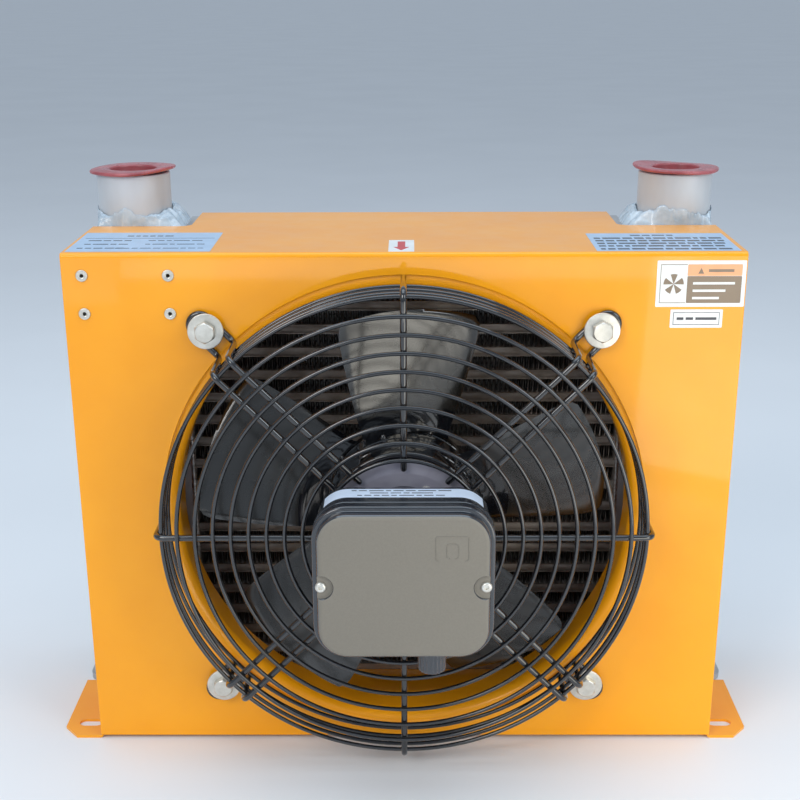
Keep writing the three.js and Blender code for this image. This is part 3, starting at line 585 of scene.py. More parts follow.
def core_bars():
    """Each passage is closed by a bar between two thin parting sheets, which stand a little proud."""
    sheet, recess = 0.9, 0.8
    front, rear = CORE_LOW.y, CORE_HIGH.y
    shapes = []
    for row in range(FIN_ROWS - 1):
        z = CORE_LOW.z + row * ROW_PITCH + FIN_HEIGHT
        top = z + BAR_HEIGHT
        half = BAR_HEIGHT / 2 - sheet
        nose = [(0.35, -half), (0.0, -half * 0.55), (-0.15, 0), (0.0, half * 0.55), (0.35, half)]
        outline = [(front, z), (front, z + sheet)]
        outline += [(front + recess + dy, z + BAR_HEIGHT / 2 + dz) for dy, dz in nose]
        outline += [(front, top - sheet), (front, top), (rear, top), (rear, top - sheet)]
        outline += [(rear - recess - dy, z + BAR_HEIGHT / 2 + dz) for dy, dz in reversed(nose)]
        outline += [(rear, z + sheet), (rear, z)]
        shapes.append(prism(outline, CORE_LOW.x, CORE_HIGH.x, "x"))
    piece("core_passages", merged(*shapes), "core_aluminium", ["core_matrix"], sharp=30)


def strip(points, y0, y1):
    """An open ribbon of points in X and Z, extruded along Y, as quads."""
    verts = [(x, y, z) for x, z in points for y in (y0, y1)]
    faces = [(2 * i, 2 * i + 1, 2 * i + 3, 2 * i + 2) for i in range(len(points) - 1)]
    return verts, faces


def core_fins():
    """Corrugated strips in offset runs, and a strip that closes each row's ends."""
    pitch, thick, runs, inset, gap = 3.8, 0.25, 4, 2.5, 0.05
    flat, end_width, end_inset = 0.42 * pitch, 2, 0.5
    count = int((CORE_HIGH.x - CORE_LOW.x - 2 * end_width) / pitch)
    front, rear = CORE_LOW.y + inset, CORE_HIGH.y - inset
    depth = (rear - front) / runs
    shapes = []
    for row in range(FIN_ROWS):
        z0 = CORE_LOW.z + row * ROW_PITCH + gap
        z1 = z0 + FIN_HEIGHT - 2 * gap
        for run in range(runs):
            start = -count * pitch / 2 + (run % 2) * pitch / 4
            ribbon = []
            for wave in range(count):
                x = start + wave * pitch
                ribbon += [(x, z0), (x + flat, z0)]
                ribbon += [(x + pitch / 2, z1), (x + pitch / 2 + flat, z1)]
            y0 = front + run * depth
            shapes.append(strip(ribbon, y0, y0 + depth))
    obj = piece("core_fins", merged(*shapes), "core_aluminium", sharp=20, look=FINS)
    thicken(obj, thick, 0)
    closing = [block(side * (CORE_HIGH.x - end_width), side * CORE_HIGH.x,
                     CORE_LOW.y + end_inset, CORE_HIGH.y - end_inset,
                     CORE_LOW.z + row * ROW_PITCH, CORE_LOW.z + row * ROW_PITCH + FIN_HEIGHT)
               for row in range(FIN_ROWS) for side in SIDES.values()]
    piece("core_side_strips", merged(*closing), "core_aluminium")


def header_tank(word, side):
    low, high = box_mm(f"{word}_header_tank")
    wall, bore = 4.0, 19.5
    port = middle(f"{word}_port_boss")
    hollow_x = [low.x + wall, high.x + 1] if side < 0 else [low.x - 1, high.x - wall]
    hollow = block(*hollow_x, low.y + wall, high.y - wall, low.z + wall, high.z - wall)
    oil_way = rod(bore, high.z - 2 * BEYOND, high.z + 2 * BEYOND, (port.x, port.y), "z")
    piece(f"{word}_tank", block(low.x, high.x, low.y, high.y, low.z, high.z), "tank_aluminium",
          [f"{word}_header_tank"], cuts=[hollow, oil_way], bevel=2.2)


def weld_bead(name, start, end, radius):
    """A hand-laid bead: overlapping ripples along the seam."""
    spacing, ripple = 0.7, 5
    start, end = Vector(start), Vector(end)
    steps = int((end - start).length / spacing)
    path = [start.lerp(end, i / steps) for i in range(steps + 1)]
    bead = tube(path, lambda i: radius * (0.86 + 0.2 * abs(sin(pi * i / ripple))))
    piece(name, bead, "tank_aluminium", look=WELD)


def core_welds():
    foot_weld_start, foot_weld_end = 174, 226
    tank_bead, foot_bead = 1.9, 2.0
    for word, side in SIDES.items():
        low, high = box_mm(f"{word}_header_tank")
        seam = side * (CORE_HIGH.x + 0.2)
        for place, y in (("front", low.y + 0.3), ("rear", high.y - 0.3)):
            start, end = [(seam, y, z) for z in (low.z + 6, high.z - 4)]
            weld_bead(f"{word}_{place}_tank_weld", start, end, tank_bead)
        y, z = high.y + 0.2, box_mm(f"{word}_core_foot")[1].z + 0.4
        start, end = [(side * x, y, z) for x in (foot_weld_start, foot_weld_end)]
        weld_bead(f"{word}_foot_weld", start, end, foot_bead)


def core_foot(word, side):
    low, high = box_mm(f"{word}_core_foot")
    outer = max(abs(low.x), abs(high.x))
    inner, step_x, step_y, corner = 170.0, HALF_WIDTH + SEAM, 104.3, 12.0
    outline = [(inner, step_y), (step_x, step_y), (step_x, low.y)]
    outline += arc((outer - corner, low.y + corner), corner, -90, 0, 12)
    outline += arc((outer - corner, high.y - corner), corner, 0, 90, 12)
    outline += [(inner, high.y)]
    outline = [(side * x, y) for x, y in outline]
    piece(f"{word}_foot_plate", prism(outline, low.z, high.z, "z"), "tank_aluminium",
          [f"{word}_core_foot"], cuts=[foot_slot(side, CORE_SLOT)], bevel=0.7)


# ---------------- ports

PORT_BORE = 20.5


def port_boss(word):
    low, high, at = span(f"{word}_port_boss")
    outer, edge, chamfer = (high.x - low.x) / 2, 1.2, 1.6
    profile = [(PORT_BORE, low.z), (outer, low.z), (outer, high.z - edge - 0.2)]
    profile += arc((outer - edge, high.z - edge), edge, 0, 90, 5)
    profile += [(PORT_BORE + chamfer, high.z), (PORT_BORE, high.z - chamfer)]
    piece(f"{word}_boss", lathe(profile, (at.x, at.y), "z", 128), "port_aluminium",
          [f"{word}_port_boss"], sharp=50)


def port_plug(word, tilt):
    """A soft plug: a tapered cup below a flange that waves a little and leans to one side."""
    low, high, at = span(f"{word}_port_plug")
    flange, seat = (high.x - low.x) / 2, box_mm(f"{word}_port_boss")[1].z + 0.4
    hollow, skirt_low, skirt_high, wall = 17.2, 18.2, 20.1, 2
    profile = [(0, low.z), (skirt_low, low.z), (skirt_low + 0.8, low.z + 1), (skirt_high, seat),
               (flange - 1.2, seat)]
    profile += arc((flange - 1.3, seat + 1.3), 1.3, -90, 90, 8)
    profile += arc((hollow + 1.6, seat + 1.2), 1.4, 90, 180, 6)
    profile += [(hollow - 0.6, low.z + 2 * wall), (hollow - wall, low.z + wall), (0, low.z + wall)]
    shape = lathe(profile, (at.x, at.y), "z", 144, loop=False)

    def soften(p):
        dx, dy = p.x - at.x, p.y - at.y
        radius = hypot(dx, dy)
        out = max(0.0, (radius - PORT_BORE) / (flange - PORT_BORE))
        turn = atan2(dy, dx)
        wave = 0.5 * cos(2 * turn + 0.6) + 0.35 * cos(3 * turn + tilt) + 0.4
        lift = out * (tilt * 1.3 * dx / flange + wave)
        stretch = 1 + 0.012 * out * cos(5 * turn + tilt)
        return Vector((at.x + dx * stretch, at.y + dy * stretch, p.z + lift))

    piece(f"{word}_plug", warped(shape, soften), "red_plastic", [f"{word}_port_plug"],
          body=f"{word}_plug", sharp=60)


def port_film(word, side):
    """Stretch film gathered round the foot of the port and spread over the top of the tank."""
    low, high, at = span(f"{word}_port_boss")
    boss = (high.x - low.x) / 2 + 0.4
    base = box_mm(f"{word}_header_tank")[1].z + 0.5
    reach_x = (side * (TONGUE_HALF_WIDTH + 2) - at.x, side * (HALF_WIDTH - 0.5) - at.x)
    left, right = min(reach_x), max(reach_x)
    front, rear = NOTCH_FRONT + 0.6 - at.y, CORE_HIGH.y - 1.5 - at.y
    sides, steps, sheet, gather = 240, 34, 0.12, 1.35
    spread, rise = 46.0, 17.0
    rings = []
    for step in range(steps + 1):
        t = step / steps
        ring = []
        for turn in around(sides):
            c, s = cos(turn), sin(turn)
            room = min((right if c > 0 else left) / (c or 1e-9),
                       (rear if s > 0 else front) / (s or 1e-9))
            seed = Vector((2.2 * c, 2.2 * s, 7.0 * side))
            edge = min(room, spread + 6.0 * noise.noise(seed * 1.7)) - 0.8
            edge = max(edge, boss + 0.8)
            radius = boss + (edge - boss) * t ** 0.9
            top = rise + 6.0 * noise.noise(seed * 0.8) + 2.5 * noise.noise(seed * 3.1)
            height = base + top * (1 - t ** 1.5) ** 1.1
            place = Vector((3.4 * c, 3.4 * s, 3.0 * t + 5 * side))
            fold = noise.ridged_multi_fractal(place, 0.8, 2.1, 3, 0.9, 1.8)
            pleat = noise.noise(Vector((9 * c, 9 * s, 1.2 * t + side)))
            amount = 2.3 * sin(pi * min(1.0, 0.12 + t * 0.86))
            height += amount * (0.55 * fold + 0.9 * pleat)
            radius += 0.7 * pleat * (1 - t) + 0.35
            ring.append((at.x + radius * c, at.y + radius * s, max(height, base + 0.1)))
        rings.append(ring)
    obj = piece(f"{word}_film", loft(rings, capped=False), "clear_film", [f"{word}_port_film"],
                sharp=75)
    thicken(obj, sheet)


# ---------------- fan and motor

BLADE_Y = middle("fan_blade_1").y
BLADE_TURN = -0.035
SADDLE_RADIUS = 73.0  # the blades' feet are coated glossy black out to here


def blade_angle(index):
    return pi / 2 + BLADE_TURN + index * 2 * pi / 5


def fan_blade(index):
    """A pressed blade on a helix, cambered, with rounded tips and a foot that curls on to the rotor."""
    across, along, sheet = 36, 40, 1.5
    root, tip = 55.6, 145.0
    root_half, tip_half = 0.58, 0.355  # the blade's half angle
    round_from = 0.86  # the share of its length from which the tip's corners are rounded
    centre = blade_angle(index)

    def middle_point(s, t):
        radius = root + t * (tip - root)
        half = root_half + (tip_half - root_half) * sqrt(t)
        corner = max(0.0, (t - round_from) / (1 - round_from))
        half *= 1 - 0.1 * (1 - sqrt(max(0.0, 1 - corner * corner)))
        axial = 16 + 2 * t
        camber = 3 * (1 - s * s) * t
        curl = exp(-((t / 0.16) ** 2))
        y = BLADE_Y - s * axial * (1 - 0.3 * curl) - camber + 3.5 * curl
        angle = centre + s * half
        return Vector((radius * cos(angle), y, FAN_Z + radius * sin(angle)))

    step = 1e-3
    front, back = [], []
    for j in range(along + 1):
        t = j / along
        for i in range(across + 1):
            s = 2 * i / across - 1
            here = middle_point(s, t)
            to_side, to_tip = middle_point(s + step, t) - here, middle_point(s, t + step) - here
            normal = to_side.cross(to_tip).normalized()
            edge = max(abs(s) ** 12, t ** 30)
            half = sheet / 2 * sqrt(max(0.0, 1 - edge)) + 0.06
            front.append(here + normal * half)
            back.append(here - normal * half)
    width = across + 1
    size = len(front)
    faces = []
    for j in range(along):
        for i in range(across):
            a, d = j * width + i, (j + 1) * width + i
            faces.append((a, a + 1, d + 1, d))
            faces.append((size + d, size + d + 1, size + a + 1, size + a))
    rim = (list(range(width))
           + [j * width + across for j in range(1, along + 1)]
           + [along * width + i for i in reversed(range(across))]
           + [j * width for j in reversed(range(1, along))])
    for a, b in zip(rim, rim[1:] + rim[:1]):
        faces.append((a, b, size + b, size + a))
    obj = piece(f"blade_{index + 1}", (front + back, faces), "black_coat", [f"fan_blade_{index + 1}"],
                body="fan_rotor", sharp=70, look=BLADE_PAINT)
    obj.data.materials.append(LOOKS["black_coat"])
    for polygon in obj.data.polygons:
        x, z = polygon.center.x / MM, polygon.center.z / MM - FAN_Z
        if hypot(x, z) < SADDLE_RADIUS + 2.5 * cos(6 * atan2(z, x)):
            polygon.material_index = 1


def rotor_cup():
    low, high = box_mm("rotor_cup")
    outer, wall, floor_sheet, bore = high.x, 5.0, 8.0, 6.4
    front, rear, inner = low.y, high.y, outer - wall
    profile = [(bore, rear - floor_sheet), (inner - 3, rear - floor_sheet),
               (inner, rear - floor_sheet - 3), (inner, front + 1)]
    profile += arc((inner + 1.2, front + 1.2), 1.2, 180, 270, 5)
    profile += arc((outer - 2.2, front + 2.2), 2.2, 270, 360, 8)
    for groove in (-14, 4, 22):
        depth = outer - 0.9
        profile += [(outer, groove - 1.4), (depth, groove - 0.7), (depth, groove + 0.7),
                    (outer, groove + 1.4)]
    profile += arc((outer - 7, rear - 7), 7, 0, 90, 10)
    profile += [(26, rear), (24, rear - 1.6), (12, rear - 1.6), (11, rear), (bore, rear)]
    piece("rotor_bell", lathe(profile, (0, FAN_Z), sides=144), "black_coat", ["rotor_cup"],
          body="fan_rotor", sharp=45)


def rotor_rivets(outer):
    """Two through each blade's foot, which slopes across the rotor."""
    rivets = []
    for index in range(5):
        for beside in (-0.3, 0.3):
            turn = blade_angle(index) + beside
            y = BLADE_Y + 3 - beside * 26
            path = [(cos(turn) * r, y, FAN_Z + sin(turn) * r) for r in (outer - 1, outer + 0.8)]
            rivets.append(tube(path, 2.4, 16))
    piece("rotor_blade_rivets", merged(*rivets), "black_coat", body="fan_rotor")


def motor_plate():
    low, high = box_mm("motor_mount_plate")
    outer, bore, front, rear = high.x, 16, low.y, high.y
    screws = [middle(f"motor_screw_{number}") for number in range(1, 5)]
    holes = [rod(SCREW_HOLE, -60, -30, (at.x, at.z), sides=24) for at in screws]
    profile = [(bore, front), (45, front), (46.2, front), (48, front + 0.5), (52, front + 0.5)]
    profile += arc((outer - 1, front + 1.2), 0.9, -90, 0, 6)
    profile += arc((outer - 1, rear - 1), 1.0, 0, 90, 4)
    profile += [(bore, rear)]
    piece("motor_plate", lathe(profile, (0, FAN_Z), sides=128), "motor_grey",
          ["motor_mount_plate"], cuts=holes, sharp=40)


def stator_shield():
    low, high = box_mm("stator_end_shield")
    bore, hub, outer, edge, shoulder = 13.3, 30, 52, 3, high.y - 5.7
    profile = [(bore, low.y), (outer - edge, low.y)]
    profile += arc((outer - edge, low.y + edge), edge, -90, 0, 8)
    profile += [(outer, high.y - 17), (outer - 1, shoulder - 0.8), (outer - edge, shoulder),
                (hub, shoulder), (hub, high.y), (bore, high.y)]
    piece("stator_shield", lathe(profile, (0, FAN_Z), sides=128), "motor_grey",
          ["stator_end_shield"], sharp=40)


def motor_screws():
    for number in range(1, 5):
        low, high, at = span(f"motor_screw_{number}")
        head, socket, shank = low.y + 2.2, low.y + 0.9, 2.5
        profile = [(0, socket), (1.4, socket), (1.6, low.y)]
        profile += arc((2.4, low.y + 1.6), 1.6, -90, 0, 6)
        profile += [(4, head), (shank, head), (shank, high.y), (0, high.y)]
        turned(f"motor_screw_head_{number}", profile, at, 32, "zinc_plate",
               f"motor_screw_{number}", loop=False)


# ---------------- guard

RING_WIRE, SPOKE_WIRE = 3.0, 4.5
SPOKE_INNER, SPOKE_BEND, SPOKE_Y, PANEL_WIRE_Y = 50.0, 169.7, -47.0, -2.55
FACE_RINGS, FACE_RING_OUTER, FACE_RING_PITCH = 9, 154.3, 12.2
SIDE_RING_RADIUS, SIDE_RING_Y = 166, (-13, -25, -36, -44)
HAIRPIN_HALF = 7.5
LOOP_REACH = 5.5  # the loop's middle lies this far beyond its bolt, so that it shows past the washer
BOLT_CIRCLE = hypot(BOLTS["upper_right"].x, BOLTS["upper_right"].z - FAN_Z)


def at_spoke(turn, radius, sideways, y):
    x = radius * cos(turn) - sideways * sin(turn)
    z = radius * sin(turn) + sideways * cos(turn)
    return (x, y, FAN_Z + z)


def guard_ring(radius, y):
    path = [at_spoke(turn, radius, 0, y) for turn in around(168)]
    return tube(path, RING_WIRE / 2, loop=True)


def spoke_run(turn, sideways, y, foot=()):
    """From the guard's middle out over its face, down its side and, for a hairpin, on to the panel."""
    corners = [(SPOKE_INNER, y), (SPOKE_BEND, y), (SPOKE_BEND, PANEL_WIRE_Y), *foot]
    return bent([at_spoke(turn, radius, sideways, along) for radius, along in corners], 7)


def hairpin(turn):
    """Two spokes made from one wire, whose loop goes round a bolt."""
    foot = [(BOLT_CIRCLE - 4, PANEL_WIRE_Y)]
    there, back = [spoke_run(turn, sideways, SPOKE_Y + 0.2, foot)
                   for sideways in (-HAIRPIN_HALF, HAIRPIN_HALF)]
    loop = [at_spoke(turn, BOLT_CIRCLE + LOOP_REACH + out, sideways, PANEL_WIRE_Y)
            for out, sideways in arc((0, 0), HAIRPIN_HALF, -90, 90, 16)]
    return there + loop + back[::-1]


def fan_guard():
    face_y = SPOKE_Y - (SPOKE_WIRE + RING_WIRE) / 2 + 0.5
    rings = [guard_ring(FACE_RING_OUTER - i * FACE_RING_PITCH, face_y) for i in range(FACE_RINGS)]
    piece("guard_face_rings", merged(*rings), "black_coat", ["fan_guard"], sharp=60)
    hoops = [guard_ring(SIDE_RING_RADIUS, y) for y in SIDE_RING_Y]
    piece("guard_side_rings", merged(*hoops), "black_coat", sharp=60)
    spokes = []
    for quarter in range(4):
        turn = quarter * pi / 2
        spokes.append(tube(spoke_run(turn, 0, SPOKE_Y), SPOKE_WIRE / 2, 16))
        spokes.append(tube(hairpin(turn + pi / 4), SPOKE_WIRE / 2, 16))
    piece("guard_spokes", merged(*spokes), "black_coat", sharp=60)


def hex_head(at, back, front, across_flats):
    """A chamfered hexagon: the flats are cut by a cone at the front."""
    flat, uncut = across_flats / 2, 99
    sides = 72
    levels = [(back, uncut), (front + 2.2, uncut), (front + 1.3, flat * 1.145),
              (front + 0.9, flat * 1.1), (front + 0.45, flat * 1.03), (front, flat * 0.93)]
    rings = []
    for y, cone in levels:
        ring = []
        for turn in around(sides):
            from_flat = (turn + pi / 6) % (pi / 3) - pi / 6
            radius = min(flat / cos(from_flat), cone)
            ring.append((at.x + radius * cos(turn), y, at.z + radius * sin(turn)))
        rings.append(ring)
    dish = [(at.x + (x - at.x) * 0.6, front + 0.12, at.z + (z - at.z) * 0.6) for x, y, z in rings[-1]]
    return loft(rings + [dish])


def guard_fasteners():
    for corner, at in BOLTS.items():
        low, high = box_mm(f"guard_bolt_{corner}")
        washer_low, washer_high = box_mm(f"guard_washer_{corner}")
        back, thread, across_flats = washer_low.y - SEAM, 4, 13
        shank = lathe([(0, high.y), (thread - 0.8, high.y), (thread, high.y - 1), (thread, back - 0.6),
                       (0, back - 0.6)], (at.x, at.z), sides=32, loop=False)
        piece(f"bolt_{corner}", merged(hex_head(at, back, low.y, across_flats), shank), "zinc_plate",
              [f"guard_bolt_{corner}"], sharp=28)
        outer = (washer_high.x - washer_low.x) / 2
        profile = ([(4.4, washer_high.y)]
                   + arc((outer - 0.4, washer_high.y - 0.4), 0.4, 90, 0, 3)
                   + arc((outer - 0.7, washer_low.y + 0.7), 0.7, 0, -90, 5)
                   + [(4.9, washer_low.y), (4.4, washer_low.y + 0.5)])
        turned(f"washer_{corner}", profile, at, 72, "zinc_plate", f"guard_washer_{corner}")


def rivet_nuts():
    for number in range(1, 5):
        low, high, at = span(f"rivet_nut_{number}")
        rim, body, bore, rim_back = (high.x - low.x) / 2, 2.6, 1.3, low.y + 1.0
        profile = [(bore, low.y + 0.35), (bore + 0.5, low.y)]
        profile += arc((rim - 0.6, low.y + 0.6), 0.6, -90, 0, 5)
        profile += [(rim, rim_back), (body, rim_back), (body, high.y), (bore, high.y)]
        turned(f"rivet_nut_body_{number}", profile, at, 48, "zinc_plate", f"rivet_nut_{number}")


# ---------------- terminal box

BOX_LOW, BOX_HIGH = box_mm("terminal_box_base")
LID_LOW, LID_HIGH = box_mm("terminal_box_lid")
BOX_CORNER, BOX_REAR = 23.0, -60.0
BOX_Z = (LID_LOW.z + LID_HIGH.z) / 2


def box_ring(inset, y):
    half_x, half_z = LID_HIGH.x - inset, (LID_HIGH.z - LID_LOW.z) / 2 - inset
    outline = rounded_rectangle(-half_x, half_x, -half_z, half_z, BOX_CORNER - inset, 14)
    return [(x, y, BOX_Z + z) for x, z in outline]


def box_bend(inset, y, half_inset, half_y, degrees):
    """Rings round an edge of the box, on a quarter of an ellipse of inset and y."""
    turns = [radians(degree) for degree in degrees]
    return [box_ring(inset + half_inset * cos(t), y + half_y * sin(t)) for t in turns]


def box_base():
    """A tray that flares to a lip in front, on a round neck."""
    front, wall_front, lip, rear_edge = BOX_LOW.y, -86.0, 1.6, 4.2
    rings = [box_ring(6.0, BOX_REAR)]
    rings += box_bend(6.0, BOX_REAR - rear_edge, rear_edge, rear_edge, (105, 125, 145, 165, 180))
    rings += [box_ring(lip, wall_front)]
    rings += box_bend(0, wall_front, lip, -4.5, (20, 40, 60, 80, 90))
    rings += [box_ring(0.0, front + 0.4), box_ring(0.4, front)]
    rings += [box_ring(2.8, front), box_ring(3.0, front + 0.4), box_ring(3.6, BOX_REAR - 3)]
    gland = middle("cable_gland")
    wire_hole, gland_hole = 9, 6.3
    piece("box_base", loft(rings), "box_plastic", ["terminal_box_base"], sharp=40,
          cuts=[rod(wire_hole, -80, -40, (0, FAN_Z)),
                rod(gland_hole, BOX_LOW.z - 5, BOX_LOW.z + 8, (gland.x, gland.y), "z", 32)])
    radius, neck_rear, neck_front = 40, -52.4, BOX_REAR + SEAM
    neck = [(wire_hole, neck_rear), (radius - 1.5, neck_rear), (radius, neck_rear - 1.5),
            (radius, -58), (radius + 2, neck_front), (wire_hole, neck_front)]
    piece("box_neck", lathe(neck, (0, FAN_Z)), "box_plastic", sharp=40)


def box_lid():
    """A stepped lid with a rough face, two screw pockets and a moulded frame with another in it."""
    split, face, edge, step, pocket = LID_HIGH.y, LID_LOW.y, 3.4, 1.6, 8.0
    rings = [box_ring(3.0, split), box_ring(0.5, split), box_ring(0.0, split - 0.5),
             box_ring(0.0, split - 5.2)]
    rings += box_bend(step, split - 5.2, -step, -step, (25, 50, 75, 90))
    rings += [box_ring(2.7, split - 6.9), box_ring(3.0, split - 7.3)]
    rings += box_bend(3.2 + edge, face + edge, -edge, -edge, range(0, 91, 15))
    hollow = loft([box_ring(6.2, face + 3), box_ring(6.0, split + 1)])
    profile = [(0, face - 1), (pocket + 0.4, face - 1), (pocket + 0.4, face), (pocket, face + 0.5),
               (pocket, face + 1.7), (pocket - 0.6, face + 2.2), (0, face + 2.3)]
    pockets = [lathe(profile, (middle(f"{word}_lid_screw").x, BOX_Z), sides=64, loop=False)
               for word in SIDES]
    lid = piece("box_lid", loft(rings), "box_plastic", ["terminal_box_lid"], sharp=32,
                cuts=[hollow, *pockets])
    # The faces that look to the front get the pale painted sheen, a colour that stands in for the reflection of
    # the bright front; the sides keep the dark plastic.
    lid.data.materials.append(LID_GRAIN_AND_PAINTED_SHEEN)
    for polygon in lid.data.polygons:
        depth = (polygon.center.y - FACE_Y) / MM - face
        if polygon.normal.y < -0.75 and depth < 4:
            polygon.material_index = 1
    # The moulded frames on the face carry the same painted sheen.
    for number, frame_box in enumerate(((20.5, 41.5, 18.8, 35.6), (27.5, 35.0, 20.6, 30.5))):
        corners = [(x, face - 0.02, BOX_Z + z) for x, z in rectangle(*frame_box)]
        path = bent(corners + corners[:2], 2.0, 5)[1:-1]
        piece(f"box_lid_moulded_frame_{number + 1}", tube(path, 0.3, 8), "box_plastic",
              look=LID_GRAIN_AND_PAINTED_SHEEN)


def lid_screws():
    for word in SIDES:
        at = middle(f"{word}_lid_screw")
        top, seat = box_mm(f"{word}_lid_screw")[0].y + 0.6, LID_LOW.y + 2.2
        profile = [(0, top + 1.2), (1.0, top + 1.2), (1.3, top + 0.1)]
        profile += arc((2.0, top + 1.6), 1.6, -90, 0, 6)
        profile += [(3.6, seat), (0, seat)]
        turned(f"{word}_box_screw", profile, at, 40, "zinc_plate", f"{word}_lid_screw", loop=False)


def cable_gland():
    """A domed, fluted nut below a plain collar, on a thread that goes through the box."""
    low, high, at = span("cable_gland")
    seat, bore, thread, collar, dome = BOX_LOW.z - SEAM, 4, 6, 10, 3.0
    flutes, depth = 20, 0.035

    def fluted(p):
        dx, dy = p.x - at.x, p.y - at.y
        if hypot(dx, dy) < 7.2 or p.z > seat - 3.5:
            return p
        grip = 1 + depth * cos(flutes * atan2(dy, dx))
        return Vector((at.x + dx * grip, at.y + dy * grip, p.z))

    profile = [(bore, low.z + 0.3), (bore + 0.6, low.z)]
    profile += arc((6.4, low.z + dome), dome, -90, -15, 7)
    profile += [(9.4, seat - 5), (9.5, seat - 3.6), (9.0, seat - 3.2), (9.0, seat - 2.6),
                (collar, seat - 2.4), (collar, seat), (thread, seat), (thread, high.z), (bore, high.z)]
    piece("gland_body", warped(lathe(profile, (at.x, at.y), "z", 160), fluted), "box_plastic",
          ["cable_gland"], sharp=40)


# ---------------- labels, with no lettering

LABEL_SHEET, LABEL_LIFT = 0.12, 0.02
LABEL_MARGIN = 2.6


def label(name, outlines, place, look, level=0):
    """Thin patches on the front panel or on the shroud's top; each level lies over the one below."""
    lift = LABEL_LIFT + 0.1 * level
    if place == "front":
        patches = [prism(outline, -lift - LABEL_SHEET, -lift, "y") for outline in outlines]
    else:
        patches = [prism(outline, HEIGHT + lift, HEIGHT + lift + LABEL_SHEET, "z")
                   for outline in outlines]
    piece(name, merged(*patches), None, look=look)


def card(x0, x1, y0, y1):
    return rounded_rectangle(x0, x1, y0, y1, 0.6, 3)


def text_bars(x0, x1, rows, height, seed):
    """Short generic bars in rows, in the place of print."""
    bars = []
    for row, y in enumerate(rows):
        x = x0
        count = 0
        while x < x1 - 3:
            length = 3 + 9 * abs(noise.noise(Vector((count * 0.73, row * 1.37, seed))) * 2)
            end = min(x + length, x1)
            bars.append(rectangle(x, end, y, y + height))
            x = end + 1.6
            count += 1
    return bars


def fan_label():
    """White, with a fan symbol on its left and a caption and three bars on its right."""
    x0, x1, z0, z1 = 169.6, 229.2, 331.0, 362.4
    line, split, band = 0.4, x0 + 20.5, z1 - 10.4
    left, low, high = x0 + 2.4, z0 + LABEL_MARGIN, z1 - LABEL_MARGIN
    label("fan_label", [card(x0, x1, z0, z1)], "front", WHITE)
    frame_lines = [rectangle(left, split - line, low, low + line),
                   rectangle(left, left + line, low + line, high),
                   rectangle(left + line, split - line, high - line, high)]
    label("fan_label_frame", frame_lines, "front", BROWN, 1)
    label("fan_label_band", [card(split, x1 - LABEL_MARGIN, band, high)], "front", SALMON, 1)
    label("fan_label_field", [card(split, x1 - LABEL_MARGIN, low, band - 0.2)], "front", BROWN, 1)
    bars = [rectangle(split + 4, split + 4 + length, z0 + up, z0 + up + 1.6)
            for up, length in ((15.2, 28), (10.2, 22), (5.2, 18))]
    label("fan_label_bars", bars, "front", WHITE, 2)
    triangle = [(split + 7, z1 - 8.9), (split + 11, z1 - 8.9), (split + 9, z1 - 5.0)]
    caption = rectangle(split + 14, split + 31, z1 - 7.8, z1 - 5.9)
    label("fan_label_marks", [triangle, caption], "front", BROWN, 2)
    hub, petal = (x0 + 11.5, z0 + 15.5), 6.8
    petals = [[hub] + arc(hub, petal, angle - 20, angle + 20, 6) for angle in range(90, 450, 72)]
    label("fan_label_symbol", petals, "front", BROWN, 1)


def supply_label():
    x0, x1, z0, z1 = 180.2, 215.5, 316.6, 329.2
    line = 0.35
    left, right, low, high = x0 + 2, x1 - 2, z0 + 2, z1 - 2
    label("supply_label", [card(x0, x1, z0, z1)], "front", WHITE)
    frame_lines = [rectangle(left, right, low, low + line),
                   rectangle(left, right, high - line, high),
                   rectangle(left, left + line, low + line, high - line),
                   rectangle(right - line, right, low + line, high - line)]
    label("supply_label_frame", frame_lines, "front", INK, 1)
    label("supply_label_bars", text_bars(x0 + 4.5, x1 - 4, [z0 + 5.4], 1.8, 4.2), "front", INK, 1)


def top_labels():
    label("left_plate", [card(-227.5, -130, 5.5, 79)], "top", SILVER)
    left_bars = text_bars(-222, -186, [17], 2.2, 1.1) + text_bars(-196, -136, [17], 1.5, 1.9)
    left_bars += text_bars(-220, -190, [32, 46], 2.2, 1.4) + text_bars(-178, -136, [32, 46], 1.8, 1.6)
    left_bars += text_bars(-196, -160, [64], 2.6, 2.2) + [rectangle(-224, -133, 56, 56.6)]
    label("left_plate_bars", left_bars, "top", INK, 1)
    label("right_plate", [card(129.5, 226, 4, 72)], "top", SILVER)
    right_bars = text_bars(133, 222, [9, 20, 30, 40, 50], 4.4, 3.3)
    label("right_plate_bars", right_bars + text_bars(160, 190, [62], 3.0, 5.5), "top", INK, 1)
    label("arrow_label", [card(-10.2, 7.2, 3.5, 47)], "top", WHITE)
    middle_x, tip, neck, tail, shaft, barb = -1.5, 8, 20, 41, 2.6, 5.4
    half = [(barb, neck), (shaft, neck), (shaft, tail)]
    arrow = [(middle_x, tip)] + [(middle_x + x, y) for x, y in half]
    arrow += [(middle_x - x, y) for x, y in reversed(half)]
    label("arrow_label_arrow", [arrow], "top", RED, 1)


def motor_label():
    """A sticker that follows the terminal box's rounded top."""
    inset = 1.7
    corner = BOX_CORNER - inset
    corner_x, top = BOX_HIGH.x - BOX_CORNER, BOX_HIGH.z - inset
    half = arc((corner_x, top - corner), corner + 0.14, 42, 90, 14)
    band = half + [(-x, z) for x, z in reversed(half)]
    rings = [[(x, y, z) for x, z in band]
             + [(x * 0.9975, y, z - LABEL_SHEET) for x, z in reversed(band)] for y in (-67.2, -83.0)]
    piece("motor_plate_label", loft(rings), None, look=PALE_BLUE)
    bars = [prism(outline, top + 0.1, top + 0.1 + LABEL_SHEET, "z")
            for y, x0, x1 in ((-80, -30, 30), (-75.6, -22, 20), (-71.2, -34, 34))
            for outline in text_bars(x0, x1, [y], 1.3, y)]
    piece("motor_plate_label_bars", merged(*bars), None, look=INK)


# ---------------- camera, light and floor

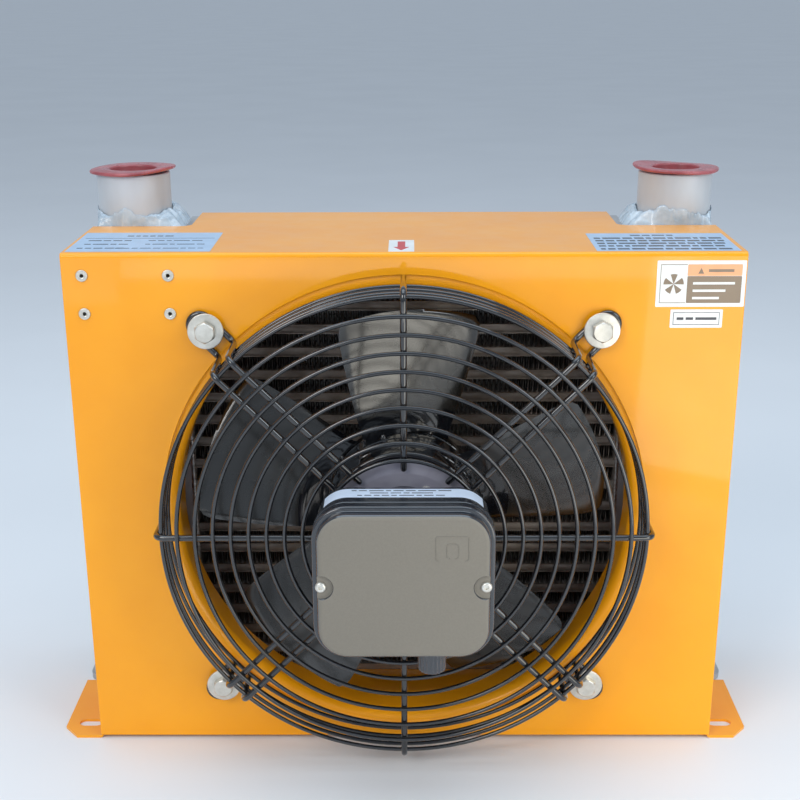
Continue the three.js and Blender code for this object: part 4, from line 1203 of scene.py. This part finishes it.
def camera():
    """Seen from the front and above; the shift keeps the view's middle where the picture has it."""
    place = Vector((3.97, -938.4, 541.7))
    pitch, yaw, roll = radians(20.43), radians(0.419), radians(-0.207)
    forward = Vector((-sin(yaw) * cos(pitch), cos(yaw) * cos(pitch),
                      -sin(pitch)))
    level = Vector((cos(yaw), sin(yaw), 0))
    up = level.cross(forward)
    right = level * cos(roll) + up * sin(roll)
    up = up * cos(roll) - level * sin(roll)
    data = bpy.data.cameras.new("camera")
    data.sensor_width = 36.0
    data.lens = 63.49
    data.shift_y = 0.125
    obj = add_object("camera", data)
    obj.rotation_mode = "QUATERNION"
    turn = Matrix((right, up, -forward)).transposed()
    obj.rotation_quaternion = turn.to_quaternion()
    obj.location = metres(place)
    bpy.context.scene.camera = obj


def area_light(name, place, target, size, radiance, color=(1, 1, 1)):
    """A soft panel. Its power follows from its size and how bright its face is."""
    width, height = size
    data = bpy.data.lights.new(name, "AREA")
    data.shape = "RECTANGLE"
    data.size, data.size_y = width, height
    data.energy = radiance * pi * width * height
    data.color = color
    obj = add_object(name, data)
    obj.location = place
    obj.rotation_euler = (Vector(target) - Vector(place)).to_track_quat("-Z", "Y").to_euler()


def studio():
    area_light("key", (-1.3, -1.9, 1.7), (0, 0, 0.2), (1.3, 1.0), 5.9, (1.0, 0.98, 0.95))
    area_light("fill", (1.9, -1.5, 1.5), (0, 0, 0.2), (1.2, 1.0), 3.6, (0.9, 0.96, 1.0))
    area_light("left_card", (-0.58, -1.05, 0.17), (-0.3, 0, 0.2), (0.34, 0.14), 1.0)
    area_light("edge_strip", (0.0, -1.05, 0.158), (0, 0, 0.158), (0.8, 0.03), 2.6)
    area_light("side_card", (0.42, -0.52, 0.17), (0, 0.05, 0.25), (0.38, 0.3), 3.0, (1.0, 0.93, 0.78))
    area_light("top", (0.0, -0.1, 2.2), (0, 0, 0.2), (2.2, 1.6), 2.2, (0.75, 0.88, 1.0))
    world = bpy.data.worlds.new("studio")
    bpy.context.scene.world = world
    world.use_nodes = True
    background = world.node_tree.nodes["Background"]
    background.inputs["Color"].default_value = (0.74, 0.86, 1.0, 1.0)
    background.inputs["Strength"].default_value = 0.55


def floor():
    half_size = 40000
    obj = mesh_object("floor", block(-half_size, half_size, -half_size, half_size, -20, 0))
    obj.data.materials.append(finish("floor", (0.8, 0.81, 0.83), 0.7,
                                     ((0.79, 0.8, 0.82), (0.81, 0.82, 0.84), 3), specular=0.2))


# ---------------- the whole object

bpy.context.scene.view_settings.view_transform = "Standard"
camera()
carry_over()
front_top_cover()
inlet_ring()
core_bars()
core_fins()
for word, side in SIDES.items():
    side_panel(word, side)
    header_tank(word, side)
    core_foot(word, side)
    port_boss(word)
    port_plug(word, tilt=-side)
    port_film(word, side)
core_welds()
for index in range(5):
    fan_blade(index)
rotor_cup()
rotor_rivets(box_mm("rotor_cup")[1].x)
motor_plate()
stator_shield()
motor_screws()
fan_guard()
guard_fasteners()
rivet_nuts()
box_base()
box_lid()
lid_screws()
cable_gland()
fan_label()
supply_label()
top_labels()
motor_label()
studio()
floor()
